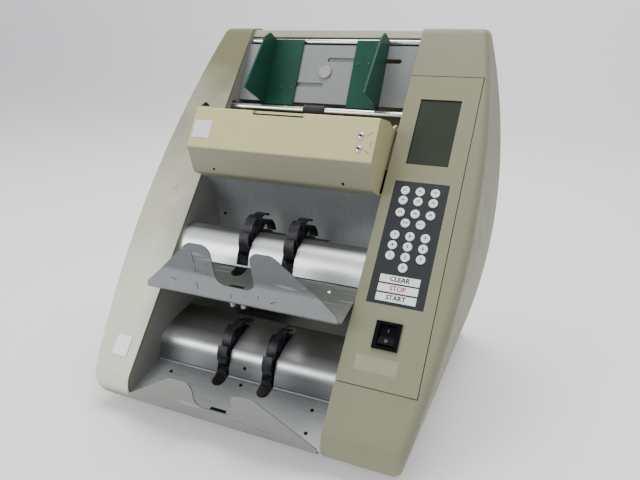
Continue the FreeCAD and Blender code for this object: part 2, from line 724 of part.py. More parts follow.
def pulley(axis):
    """Flanged belt pulley at the left end of a shaft."""
    flange = (PULLEY_WIDTH - BELT_WIDTH) / 2 - MOVE_GAP
    core = rod(axis, PULLEY_RADIUS, SHAFT_LEFT, SHAFT_LEFT + PULLEY_WIDTH)
    rims = [rod(axis, PULLEY_RADIUS + PULLEY_FLANGE, SHAFT_LEFT, SHAFT_LEFT + flange),
            rod(axis, PULLEY_RADIUS + PULLEY_FLANGE, SHAFT_LEFT + PULLEY_WIDTH - flange,
                SHAFT_LEFT + PULLEY_WIDTH)]
    return joined([core] + rims)


def make_shaft(axis, radius):
    """Plain shaft through both frames, with its pulley on the left end."""
    return joined([rod(axis, radius, SHAFT_LEFT, SHAFT_RIGHT), pulley(axis)])


def sleeve(axis, radius, bore, x0, x1):
    """Tube along X."""
    return rod(axis, radius, x0, x1).cut(rod(axis, bore, x0, x1))


def make_exit_rollers():
    """Rubber rollers on the upper stacker shaft, one beside each wheel."""
    rollers = []
    for x in WHEEL_PLACES:
        x0 = x + WHEEL_WIDTH / 2 + EXIT_ROLLER_GAP
        x1 = x0 + EXIT_ROLLER_WIDTH
        rollers.append(sleeve(UPPER_AXIS, EXIT_ROLLER_RADIUS, SHAFT_RADIUS + RUN_GAP, x0, x1))
    return Part.makeCompound(rollers)


def make_feed_roller():
    half = FEED_ROLLER_WIDTH / 2
    bore = FEED_SHAFT_RADIUS + RUN_GAP
    return sleeve(FEED_AXIS, FEED_ROLLER_RADIUS, bore, POCKET_MID - half, POCKET_MID + half)


def make_motor():
    """Flanged drive motor on the left frame, with a bored front boss."""
    x1 = WALL_LEFT + MOTOR_LENGTH
    can = rod(MOTOR_AXIS, MOTOR_RADIUS, WALL_LEFT + FRAME_THICKNESS, x1)
    can = can.makeFillet(MOTOR_EDGE_RADIUS, [e for e in can.Edges if abs(e.CenterOfMass.x - x1) < 0.01])
    half = MOTOR_RADIUS
    plate = box(WALL_LEFT, WALL_LEFT + FRAME_THICKNESS, MOTOR_AXIS.y - half, MOTOR_AXIS.y + half,
                MOTOR_AXIS.z - half, MOTOR_AXIS.z + half)
    boss = rod(MOTOR_AXIS, MOTOR_BOSS_RADIUS - RIM_GAP, WALL_LEFT - FRAME_THICKNESS, WALL_LEFT)
    bore = rod(MOTOR_AXIS, SHAFT_RADIUS + RUN_GAP, WALL_LEFT - FRAME_THICKNESS, WALL_LEFT + MOTOR_BORE_DEPTH)
    return joined([can, plate, boss]).cut(bore)


def make_motor_pulley():
    """Pulley on the motor's own shaft."""
    end = WALL_LEFT + MOTOR_BORE_DEPTH - 1
    return joined([pulley(MOTOR_AXIS), rod(MOTOR_AXIS, SHAFT_RADIUS, SHAFT_LEFT, end)])


def make_belt():
    """One belt round the motor pulley and the three shaft pulleys."""
    centres = [flat(a.y, a.z) for a in (LOWER_AXIS, MOTOR_AXIS, FEED_AXIS, UPPER_AXIS)]
    loop = Part.Wire([line(centres[i - 1], centres[i]) for i in range(len(centres))])
    inner = PULLEY_RADIUS + MOVE_GAP
    outline = Part.Face(loop.makeOffset2D(inner + BELT_THICKNESS))
    ring = outline.cut(Part.Face(loop.makeOffset2D(inner)))
    x0 = SHAFT_LEFT + (PULLEY_WIDTH - BELT_WIDTH) / 2
    return across(ring.Faces[0], x0, x0 + BELT_WIDTH)


def rack_line():
    """Distance from the pinion's axis to the middle of a rack's back and of its slot."""
    return PITCH_RADIUS + 1.25 * GEAR_MODULE + RACK_BACK / 2


def guide_reach():
    """Distance from the middle of the hopper to a guide's inner edge, at rest."""
    return POCKET_WIDTH / 2 - GUIDE_SIDE_ROOM - GUIDE_BASE_WIDTH


def make_hopper_plate():
    """Hopper plate with side flanges, the pinion's hole and one slot for each guide."""
    plate = box(WALL_LEFT, WALL_RIGHT, 0, PLATE_LENGTH, -PLATE_SHEET, 0)
    flanges = [box(WALL_LEFT, WALL_LEFT + PLATE_SHEET, 0, PLATE_LENGTH, -PLATE_FLANGE, 0),
               box(WALL_RIGHT - PLATE_SHEET, WALL_RIGHT, 0, PLATE_LENGTH, -PLATE_FLANGE, 0)]
    foot = Vector(POCKET_MID, PINION_UP, -PLATE_FLANGE)
    hole = Part.makeCylinder(PINION_AXLE_RADIUS + RUN_GAP, 2 * PLATE_FLANGE, foot)
    length = guide_reach() + RIVET_INSET + RIVET_SPACING + GUIDE_OUT + SLOT_WIDTH
    slots = []
    for side in (-1, 1):
        x = POCKET_MID + side * length / 2
        slots.append(slot_solid(x, PINION_UP + side * rack_line(), length, SLOT_WIDTH, PLATE_FLANGE / 2))
    return moved(joined([plate] + flanges).cut([hole] + slots), PLATE)


def make_hopper_rod():
    return rod(ROD_AXIS, ROD_RADIUS, WALL_LEFT, WALL_RIGHT)


def tooth_points(x, pitch_line):
    """One upright rack tooth, drawn from left to right on a pitch line."""
    slope = math.tan(math.radians(20))
    quarter = math.pi * GEAR_MODULE / 4 - GEAR_BACKLASH / 2
    root = quarter + 1.25 * GEAR_MODULE * slope
    tip = quarter - GEAR_MODULE * slope
    low = pitch_line - 1.25 * GEAR_MODULE
    high = pitch_line + GEAR_MODULE
    return [flat(x - root, low), flat(x - tip, high), flat(x + tip, high), flat(x + root, low)]


def rack_solid():
    """Rack below the pinion, with its teeth up and a tooth space over the middle at rest."""
    pitch = math.pi * GEAR_MODULE
    line_y = -PITCH_RADIUS
    reach = GUIDE_OUT + 2 * pitch
    inward = GUIDE_IN + 2 * pitch
    end = guide_reach() + RIVET_INSET + RIVET_SPACING + SLOT_WIDTH
    points = [flat(-end, line_y - 1.25 * GEAR_MODULE)]
    first = -math.floor(inward / pitch) - 0.5
    count = int((inward + reach) / pitch)
    for i in range(count):
        points += tooth_points((first + i) * pitch, line_y)
    last = points[-1].x + GEAR_MODULE
    points += [flat(last, points[-1].y), flat(last, line_y - 1.25 * GEAR_MODULE - RACK_BACK),
               flat(-end, line_y - 1.25 * GEAR_MODULE - RACK_BACK)]
    face = rounded_face(points, [0] * len(points))
    back = -PLATE_SHEET - MOVE_GAP - RACK_THICKNESS
    solid = face.extrude(Vector(0, 0, RACK_THICKNESS))
    solid.translate(Vector(0, 0, back))
    return solid


def make_guide(side):
    """Folded note guide, riveted through its slot to the rack behind the plate."""
    inner = guide_reach()
    outer = inner + GUIDE_BASE_WIDTH
    low = -GUIDE_BELOW
    high = PLATE_LENGTH + GUIDE_ABOVE
    base = box(inner, outer, low, high, MOVE_GAP, MOVE_GAP + GUIDE_SHEET)
    corners = [flat(low, MOVE_GAP), flat(high, MOVE_GAP), flat(high, GUIDE_TOP_HEIGHT - GUIDE_TOP_CHAMFER),
               flat(high - GUIDE_TOP_CHAMFER, GUIDE_TOP_HEIGHT), flat(low, GUIDE_FOOT_HEIGHT)]
    wall = across(rounded_face(corners, [0] * len(corners)), outer - GUIDE_SHEET, outer)
    rivet_y = PINION_UP + side * rack_line()
    rivet_length = PLATE_SHEET + 3 * MOVE_GAP + GUIDE_SHEET / 2
    rivets = []
    for x in (inner + RIVET_INSET, inner + RIVET_INSET + RIVET_SPACING):
        foot = Vector(x, rivet_y, -PLATE_SHEET - 2 * MOVE_GAP)
        rivets.append(Part.makeCylinder(SLOT_WIDTH / 2 - MOVE_GAP, rivet_length, foot))
    rack = rack_solid()
    rack.rotate(Vector(0, 0, 0), Vector(0, 0, 1), 180)
    rack.translate(Vector(0, PINION_UP, 0))
    if side < 0:
        rack = rack.mirror(Vector(0, PINION_UP, 0), Vector(0, 1, 0))
    guide = joined([base, wall, rack] + rivets)
    if side < 0:
        guide = guide.mirror(Vector(0, 0, 0), Vector(1, 0, 0))
    guide.translate(Vector(POCKET_MID, 0, 0))
    return moved(guide, PLATE)


def pinion_tooth(turn):
    """Corners of one pinion tooth on an involute flank, in order round the gear."""
    base = PITCH_RADIUS * math.cos(math.radians(20))
    half = math.pi / PINION_TEETH / 2 - GEAR_BACKLASH / 2 / PITCH_RADIUS
    pitch_roll = math.tan(math.radians(20)) - math.radians(20)
    flank = [(PITCH_RADIUS - 1.25 * GEAR_MODULE, half + pitch_roll)]
    for radius in (base, PITCH_RADIUS, PITCH_RADIUS + GEAR_MODULE):
        pressure = math.acos(min(1.0, base / radius))
        flank.append((radius, half + pitch_roll - (math.tan(pressure) - pressure)))
    left = [polar(r, turn - math.degrees(a)) for r, a in flank]
    right = [polar(r, turn + math.degrees(a)) for r, a in reversed(flank)]
    return left + right


def make_pinion():
    """Pinion behind the plate, on an axle with a round head in front."""
    points = []
    for i in range(PINION_TEETH):
        points += pinion_tooth(90 + i * 360.0 / PINION_TEETH)
    back = -PLATE_SHEET - MOVE_GAP - RACK_THICKNESS
    gear = rounded_face(points, [0] * len(points)).extrude(Vector(0, 0, RACK_THICKNESS))
    gear.translate(Vector(0, 0, back))
    axle = Part.makeCylinder(PINION_AXLE_RADIUS, MOVE_GAP - back, Vector(0, 0, back))
    head = Part.makeCylinder(PINION_HEAD_RADIUS, PINION_HEAD_HEIGHT, Vector(0, 0, MOVE_GAP))
    rim = [e for e in head.Edges if abs(e.CenterOfMass.z - MOVE_GAP - PINION_HEAD_HEIGHT) < 0.01]
    pinion = joined([gear, axle, head.makeChamfer(PINION_HEAD_HEIGHT / 3, rim)])
    pinion.translate(Vector(POCKET_MID, PINION_UP, 0))
    return moved(pinion, PLATE)


def hood_corners(overrun):
    """Side view of the hood; its open back is drawn deeper by an overrun."""
    seat = -HOOD_SEAT_DEPTH - overrun
    return [flat(0, HOOD_CHIN_REACH), flat(HOOD_EDGE_STATION, HOOD_EDGE_REACH),
            flat(HOOD_TOP_STATION, HOOD_TOP_REACH),
            flat(HOOD_HEIGHT - HOOD_SHOULDER_DROP, HOOD_SHOULDER_REACH),
            flat(HOOD_HEIGHT, seat), flat(HOOD_SEAT_STATION, seat)]


def hood_prism(face, x0, x1):
    """Prism of a hood profile between two X planes."""
    solid = across(face, x0, x1)
    solid.translate(Vector(0, HOOD_START, 0))
    return moved(solid, FRONT)


def make_hood():
    """Hollow hood open to the machine, with end lugs and hinge pins."""
    left = WALL_LEFT + HOOD_SIDE_GAP
    right = WALL_RIGHT - HOOD_SIDE_GAP
    radii = [HOOD_CHIN_RADIUS, HOOD_EDGE_RADIUS, HOOD_WALL, HOOD_WALL, 0, 0]
    shell = hood_prism(rounded_face(hood_corners(0), radii), left, right)
    hollow_face = rounded_face(hood_corners(4 * HOOD_WALL), radii)
    hollow = Part.Face(hollow_face.OuterWire.makeOffset2D(-HOOD_WALL))
    shell = shell.cut(hood_prism(hollow, left + HOOD_WALL, right - HOOD_WALL))
    lug_root = HOOD_HEIGHT - 4 * HOOD_LUG_RADIUS
    lug_corners = [flat(lug_root, HOOD_WALL), flat(HOOD_HEIGHT - HOOD_WALL, HOOD_LUG_RADIUS),
                   flat(HOOD_PIVOT_RISE + 1.5 * HOOD_LUG_RADIUS, -HOOD_PIVOT_DEPTH),
                   flat(HOOD_PIVOT_RISE - HOOD_LUG_RADIUS / 2, -HOOD_PIVOT_DEPTH - 1.5 * HOOD_LUG_RADIUS)]
    lug_face = rounded_face(lug_corners, [0, HOOD_WALL, HOOD_LUG_RADIUS, HOOD_LUG_RADIUS])
    lugs = [hood_prism(lug_face, left, left + HOOD_WALL), hood_prism(lug_face, right - HOOD_WALL, right)]
    pins = [rod(HOOD_AXIS, HOOD_PIN_RADIUS, WALL_LEFT - FRAME_THICKNESS, left + HOOD_WALL),
            rod(HOOD_AXIS, HOOD_PIN_RADIUS, right - HOOD_WALL, WALL_RIGHT + FRAME_THICKNESS)]
    middle = POCKET_MID + HOOD_RECESS_SHIFT
    recess = front_box(middle - HOOD_RECESS_WIDTH / 2, middle + HOOD_RECESS_WIDTH / 2,
                       HOOD_START + HOOD_TOP_STATION - HOOD_RECESS_DEPTH, HOOD_START + HOOD_HEIGHT,
                       HOOD_TOP_REACH - HOOD_RECESS_DEPTH, FAR)
    return joined([shell] + lugs + pins).cut(recess)


def lid_box(width, start, height, out0, out1):
    """Block on the console lid, centred across it, between two depths."""
    low = LID_START + start
    return front_box(LID_MID - width / 2, LID_MID + width / 2, low, low + height, out0, out1)


def make_console_lid():
    """Console panel with its display, keypad and switch openings, and posts for the board."""
    slab = front_box(WALL_RIGHT, WALL_RIGHT + LID_WIDTH, LID_START, LID_START + LID_LENGTH, -LID_THICKNESS, 0)
    ledge = 2 * KEYPAD_LEDGE
    cuts = [lid_box(DISPLAY_WIDTH, DISPLAY_START, DISPLAY_HEIGHT, -FAR, 1),
            lid_box(KEYPAD_WIDTH, KEYPAD_START, KEYPAD_HEIGHT, -KEYPAD_THICKNESS, 1),
            lid_box(KEYPAD_WIDTH - ledge, KEYPAD_START + KEYPAD_LEDGE, KEYPAD_HEIGHT - ledge, -FAR, 1),
            lid_box(bezel_width() + 2 * RIM_GAP, BEZEL_MID - bezel_length() / 2 - RIM_GAP,
                    bezel_length() + 2 * RIM_GAP, -FAR, 1)]
    lid = slab.common(pod_body(1, 0.0)).cut(cuts)
    posts = []
    for x, station in board_post_places():
        foot = Vector(x, station, -LID_THICKNESS - BOARD_STANDOFF)
        posts.append(moved(Part.makeCylinder(BOARD_POST_RADIUS, BOARD_STANDOFF + 1, foot), FRONT))
    return joined([lid] + posts)


def board_span():
    """Lower and upper end of the main board, from the lid's lower edge."""
    top = DISPLAY_START + DISPLAY_HEIGHT + DISPLAY_RIM + 2 * BOARD_POST_RADIUS + RIM_GAP
    return KEYPAD_START - BOARD_MARGIN, top


def board_post_places():
    """Centres of the posts at the board's corners, in X and stations."""
    low, high = board_span()
    inset = BOARD_MARGIN + BOARD_POST_RADIUS
    places = []
    for x in (WALL_RIGHT + inset, WALL_RIGHT + LID_WIDTH - inset):
        for station in (low + BOARD_POST_RADIUS, high - BOARD_POST_RADIUS):
            places.append((x, LID_START + station))
    return places


def make_main_board():
    """Control board on the lid's posts, with chips and capacitors on its back."""
    low, high = board_span()
    front = -LID_THICKNESS - BOARD_STANDOFF
    back = front - BOARD_THICKNESS
    width = LID_WIDTH - 2 * BOARD_MARGIN
    shapes = [lid_box(width, low, high - low, back, front)]
    for i in range(3):
        chip = width / 4
        shapes.append(lid_box(chip, low + (i + 1) * width, chip, back - CHIP_HEIGHT, back))
    for side in (-1, 1):
        foot = Vector(LID_MID + side * width / 4, LID_START + low + width / 2, back - CAPACITOR_HEIGHT)
        shapes.append(moved(Part.makeCylinder(CAPACITOR_RADIUS, CAPACITOR_HEIGHT, foot), FRONT))
    return joined(shapes)


def make_display():
    """Display module: a rim behind the lid and a window face set back in its opening."""
    rim = 2 * DISPLAY_RIM
    back = lid_box(DISPLAY_WIDTH + rim, DISPLAY_START - DISPLAY_RIM, DISPLAY_HEIGHT + rim,
                   -LID_THICKNESS - DISPLAY_THICKNESS, -LID_THICKNESS)
    gap = 2 * RIM_GAP
    window = lid_box(DISPLAY_WIDTH - gap, DISPLAY_START + RIM_GAP, DISPLAY_HEIGHT - gap,
                     -LID_THICKNESS, -DISPLAY_RECESS)
    return joined([back, window])


def key_places():
    """Name, X offset and station of each round key, from the top row down."""
    places = []
    station = KEYPAD_START + KEYPAD_HEIGHT - KEY_TOP_MARGIN
    number = 1
    for row, (count, group_start) in enumerate(FUNCTION_ROWS):
        if row:
            station -= KEY_PITCH + group_start * KEY_GROUP_GAP
        for i in range(count):
            places.append(("function_key_%d" % number, (i - (count - 1) / 2) * KEY_PITCH_X, station))
            number += 1
    station -= KEY_GROUP_GAP
    for digits in DIGIT_ROWS:
        station -= KEY_PITCH
        for i, digit in enumerate(digits):
            places.append(("digit_key_" + digit, (i - (len(digits) - 1) / 2) * KEY_PITCH_X, station))
    return places


def bar_places():
    """Name and lower station of each bar key, from the top one down."""
    first = KEYPAD_START + BAR_MARGIN + 2 * BAR_PITCH
    return [(name, first - i * BAR_PITCH) for i, name in enumerate(("clear_key", "stop_key", "start_key"))]


def round_prism(x, station, radius, out0, out1):
    """Cylinder square to the sloped front, placed on the console lid."""
    foot = Vector(LID_MID + x, LID_START + station, out0)
    return Part.makeCylinder(radius, out1 - out0, foot)


def make_keypad_plate():
    """Keypad plate with a hole for each key."""
    fit = 2 * KEYPAD_FIT
    plate = lid_box(KEYPAD_WIDTH - fit, KEYPAD_START + KEYPAD_FIT, KEYPAD_HEIGHT - fit, -KEYPAD_THICKNESS, 0)
    holes = []
    for _, x, station in key_places():
        holes.append(moved(round_prism(x, station, KEY_DIAMETER / 2 + MOVE_GAP, -KEYPAD_THICKNESS, 1), FRONT))
    for _, start in bar_places():
        gap = 2 * MOVE_GAP
        holes.append(lid_box(BAR_WIDTH + gap, start - MOVE_GAP, BAR_HEIGHT + gap, -KEYPAD_THICKNESS, 1))
    return plate.cut(holes)


def make_round_key(x, station):
    """Round key cap with a soft edge, on a flange behind the plate."""
    seat = -KEYPAD_THICKNESS - MOVE_GAP
    cap = round_prism(x, station, KEY_DIAMETER / 2, seat, KEY_PROUD)
    cap = cap.makeFillet(KEY_EDGE_RADIUS, [e for e in cap.Edges if e.BoundBox.ZMin > KEY_PROUD - 0.01])
    flange = round_prism(x, station, KEY_FLANGE_RADIUS, seat - KEY_FLANGE, seat)
    return moved(joined([cap, flange]), FRONT)


def make_bar_key(start):
    """Bar key cap with a soft edge and a retaining flange at each end."""
    seat = -KEYPAD_THICKNESS - MOVE_GAP
    x0 = LID_MID - BAR_WIDTH / 2
    s0 = LID_START + start
    cap = box(x0, x0 + BAR_WIDTH, s0, s0 + BAR_HEIGHT, seat, KEY_PROUD)
    cap = cap.makeFillet(KEY_EDGE_RADIUS, [e for e in cap.Edges if e.BoundBox.ZMin > KEY_PROUD - 0.01])
    reach = 2 * MOVE_GAP + KEY_FLANGE
    flange = box(x0 - reach, x0 + BAR_WIDTH + reach, s0, s0 + BAR_HEIGHT, seat - KEY_FLANGE, seat)
    return moved(joined([cap, flange]), FRONT)


def bezel_width():
    """Width of the switch housing behind the lid."""
    return ROCKER_WIDTH + 2 * MOVE_GAP + 2 * BEZEL_WALL


def rocker_opening():
    """Length of the opening that the rocker swings in."""
    tilt = math.radians(ROCKER_TILT_DEG)
    swing = ROCKER_HALF_LENGTH * math.cos(tilt) + ROCKER_CREST * math.sin(tilt)
    return 2 * (swing + MOVE_GAP)


def bezel_length():
    """Length of the switch housing behind the lid."""
    return rocker_opening() + 2 * BEZEL_WALL


def make_switch_bezel():
    """Switch housing: a flange on the lid and a hollow box behind it."""
    flange = lid_box(SWITCH_WIDTH, SWITCH_MARGIN, SWITCH_HEIGHT, 0, BEZEL_PROUD)
    body = lid_box(bezel_width(), BEZEL_MID - bezel_length() / 2, bezel_length(), -BEZEL_DEPTH, 0)
    hollow = lid_box(ROCKER_WIDTH + 2 * MOVE_GAP, BEZEL_MID - rocker_opening() / 2, rocker_opening(),
                     BEZEL_WALL - BEZEL_DEPTH, FAR)
    reach = ROCKER_WIDTH / 2 + ROCKER_PIN_LENGTH + RUN_GAP
    hole = rod(ROCKER_AXIS, ROCKER_PIN_RADIUS + RUN_GAP, LID_MID - reach, LID_MID + reach)
    return joined([flange, body]).cut([hollow, hole])


def make_rocker():
    """Dished rocker on two side pins, resting tilted to one side."""
    half = ROCKER_HALF_LENGTH
    corners = [flat(-half, ROCKER_CREST), flat(-half, 0), flat(0, -ROCKER_SKIRT), flat(half, 0),
               flat(half, ROCKER_CREST), flat(0, ROCKER_CREST - ROCKER_DISH)]
    face = rounded_face(corners, [ROCKER_EDGE_RADIUS, 0, ROCKER_SKIRT / 2, 0, ROCKER_EDGE_RADIUS,
                                  ROCKER_DISH_RADIUS])
    body = across(face, LID_MID - ROCKER_WIDTH / 2, LID_MID + ROCKER_WIDTH / 2)
    body.rotate(Vector(0, 0, 0), Vector(1, 0, 0), 90 - SLOPE_DEG - ROCKER_TILT_DEG)
    body.translate(Vector(0, ROCKER_AXIS.y, ROCKER_AXIS.z))
    reach = ROCKER_WIDTH / 2 + ROCKER_PIN_LENGTH
    return joined([body, rod(ROCKER_AXIS, ROCKER_PIN_RADIUS, LID_MID - reach, LID_MID + reach)])


def make_pieces():
    """Every piece of the machine by node name, in the body's own frame."""
    upper_back = upper_slot_end()
    pieces = {
        "base_plate": make_base_plate(),
        "left_side_frame": make_side_frame(-1),
        "right_side_frame": make_side_frame(1),
        "left_pod": make_left_pod(),
        "right_pod": make_right_pod(),
        "rear_cover": make_rear_cover(),
        "rubber_feet": make_feet(),
        "power_inlet": make_power_inlet(),
        "console_lid": make_console_lid(),
        "display_window": make_display(),
        "keypad_plate": make_keypad_plate(),
        "switch_bezel": make_switch_bezel(),
        "power_rocker": make_rocker(),
        "main_board": make_main_board(),
        "hopper_plate": make_hopper_plate(),
        "hopper_rod": make_hopper_rod(),
        "left_note_guide": make_guide(-1),
        "right_note_guide": make_guide(1),
        "guide_pinion": make_pinion(),
        "hood": make_hood(),
        "pocket_back_sheet": make_back_sheet(),
        "upper_drum": make_drum(UPPER_JOINT, UPPER_BEND_RADIUS, UPPER_CROWN_REACH, upper_back,
                                UPPER_FOOT_STRIP),
        "upper_tray": make_upper_tray(),
        "lower_drum": make_drum(LOWER_JOINT, LOWER_BEND_RADIUS, LOWER_CROWN_REACH, LOWER_SLOT_END),
        "lower_tray": make_lower_tray(),
        "shaft_bearings": make_bearings(),
        "feed_shaft": make_shaft(FEED_AXIS, FEED_SHAFT_RADIUS),
        "feed_roller": make_feed_roller(),
        "upper_stacker_shaft": make_shaft(UPPER_AXIS, SHAFT_RADIUS),
        "upper_stacker_wheels": make_wheels(UPPER_AXIS),
        "exit_rollers": make_exit_rollers(),
        "lower_stacker_shaft": make_shaft(LOWER_AXIS, SHAFT_RADIUS),
        "lower_stacker_wheels": make_wheels(LOWER_AXIS),
        "drive_motor": make_motor(),
        "motor_pulley": make_motor_pulley(),
        "drive_belt": make_belt(),
    }
    for name, x, station in key_places():
        pieces[name] = make_round_key(x, station)
    for name, start in bar_places():
        pieces[name] = make_bar_key(start)
    return pieces


def footprint_shift(pieces):
    """Move that puts the origin under the middle of the whole machine, on the table."""
    bounds = FreeCAD.BoundBox()
    for shape in pieces.values():
        bounds.add(shape.optimalBoundingBox(False, False))
    return Vector(-bounds.Center.x, -bounds.Center.y, -bounds.ZMin)


def main():
    """Build the pieces, centre them and write one file for each."""
    os.makedirs("parts", exist_ok=True)
    pieces = make_pieces()
    shift = footprint_shift(pieces)
    for name, shape in pieces.items():
        shape.translate(shift)
        shape.exportStep(os.path.join("parts", name + ".step"))
    return pieces, shift


if __name__ == "__main__":
    main()
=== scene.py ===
"""Looks of a two-pocket banknote counting machine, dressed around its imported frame.

X runs to the right seen from the front, Y to the back and Z up, in metres.
Sizes in the classes are in millimetres, as a maker would note them.
"""
import logging
import math
from dataclasses import dataclass
from enum import Enum
from typing import Any, Optional

import bmesh
import bpy
from mathutils import Matrix, Vector
from mathutils.bvhtree import BVHTree


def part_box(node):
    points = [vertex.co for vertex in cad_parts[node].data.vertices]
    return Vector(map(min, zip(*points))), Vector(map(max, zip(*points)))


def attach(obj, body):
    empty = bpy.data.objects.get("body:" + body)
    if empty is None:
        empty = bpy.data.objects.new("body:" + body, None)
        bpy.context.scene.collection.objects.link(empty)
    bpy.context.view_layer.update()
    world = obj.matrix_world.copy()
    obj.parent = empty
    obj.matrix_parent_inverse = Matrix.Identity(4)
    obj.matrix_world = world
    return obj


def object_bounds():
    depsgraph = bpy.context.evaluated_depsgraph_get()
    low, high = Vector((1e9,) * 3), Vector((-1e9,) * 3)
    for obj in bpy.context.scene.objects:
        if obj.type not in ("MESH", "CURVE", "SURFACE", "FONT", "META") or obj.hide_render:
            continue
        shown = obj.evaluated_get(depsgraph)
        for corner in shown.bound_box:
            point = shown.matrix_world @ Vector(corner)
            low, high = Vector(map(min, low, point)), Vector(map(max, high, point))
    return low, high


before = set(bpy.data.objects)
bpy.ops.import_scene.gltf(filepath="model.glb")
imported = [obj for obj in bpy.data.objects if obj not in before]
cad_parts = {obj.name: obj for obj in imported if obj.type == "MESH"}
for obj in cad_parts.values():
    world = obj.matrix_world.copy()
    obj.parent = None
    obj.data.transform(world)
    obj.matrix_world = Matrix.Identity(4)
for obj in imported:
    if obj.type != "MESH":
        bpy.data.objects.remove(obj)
CAD_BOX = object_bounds()
LOG = logging.getLogger("counting_machine")
MM = 0.001
# Thickness of print, and how far it is lifted so that the face below doesn't show through
FILM_MM = 0.03
# Y of the front slope's foot, from which depths are measured
SHIFT_Y = -169.144

Place = tuple[float, float, float]
Outline = list[tuple[float, float]]


class Body(Enum):
    """Rigid bodies that added pieces ride on."""

    MACHINE = "machine"
    HOOD = "hood"
    ROCKER = "rocker"
    LEFT_GUIDE = "left_guide"
    RIGHT_GUIDE = "right_guide"
    UPPER_STACKER = "upper_stacker"


def srgb(code: str) -> tuple[float, float, float, float]:
    """Turn an sRGB hex colour into linear values.

    Args:
        code: six hex digits.

    Returns:
        Linear red, green, blue and an alpha of one.
    """
    parts = [int(code[i:i + 2], 16) / 255 for i in (0, 2, 4)]
    linear = [c / 12.92 if c <= 0.04045 else ((c + 0.055) / 1.055) ** 2.4 for c in parts]
    return (linear[0], linear[1], linear[2], 1.0)


def per_metre(size_mm: float) -> float:
    """Texture scale that gives a pattern of one size in millimetres."""
    return 1.0 / (size_mm * MM)


def add_node(tree: bpy.types.NodeTree, kind: str, inputs: Optional[dict] = None,
             **settings: Any) -> bpy.types.Node:
    """Add one shader node, set its options and fill or link its inputs.

    Args:
        tree: node tree that takes the node.
        kind: name of the node type, without its common prefix.
        inputs: value or output socket for each input, by name or number.
        settings: options of the node itself.

    Returns:
        The new node.
    """
    node = tree.nodes.new("ShaderNode" + kind)
    for key, value in settings.items():
        setattr(node, key, value)
    for key, value in (inputs or {}).items():
        if isinstance(value, bpy.types.NodeSocket):
            tree.links.new(value, node.inputs[key])
        else:
            node.inputs[key].default_value = value
    return node


@dataclass(frozen=True)
class Finish:
    """A surface finish: its name, base colour and the values set on its shader."""

    name: str
    colour: str
    roughness: float = 0.5
    metallic: float = 0.0
    ior: float = 1.5
    gloss: float = 0.5
    glow: float = 0.0
    mottle_mm: float = 9.0
    darker: float = 0.85

    def material(self) -> bpy.types.Material:
        """Make the material once and reuse it.

        Returns:
            The Blender material of this finish.
        """
        found = bpy.data.materials.get(self.name)
        if found:
            return found
        made = bpy.data.materials.new(self.name)
        made.use_nodes = True
        made.diffuse_color = srgb(self.colour)
        tree = made.node_tree
        shader = tree.nodes["Principled BSDF"]
        shader.inputs["Roughness"].default_value = self.roughness
        shader.inputs["Metallic"].default_value = self.metallic
        shader.inputs["IOR"].default_value = self.ior
        shader.inputs["Specular IOR Level"].default_value = self.gloss
        shader.inputs["Base Color"].default_value = srgb(self.colour)
        shader.inputs["Emission Color"].default_value = srgb(self.colour)
        shader.inputs["Emission Strength"].default_value = self.glow
        self.shade(tree, shader)
        return made

    def shade(self, tree: bpy.types.NodeTree, shader: bpy.types.Node) -> None:
        """Add the finish's own pattern.

        Args:
            tree: node tree of the material.
            shader: its main shader.
        """
        place = add_node(tree, "TexCoord")
        mottle = add_node(tree, "TexNoise", {"Vector": place.outputs["Object"],
                                             "Scale": per_metre(self.mottle_mm)})
        dark = [c * self.darker for c in srgb(self.colour)[:3]] + [1.0]
        tone = add_node(tree, "Mix", {"Factor": mottle.outputs["Fac"], 6: srgb(self.colour), 7: dark},
                        data_type="RGBA")
        tree.links.new(tone.outputs[2], shader.inputs["Base Color"])


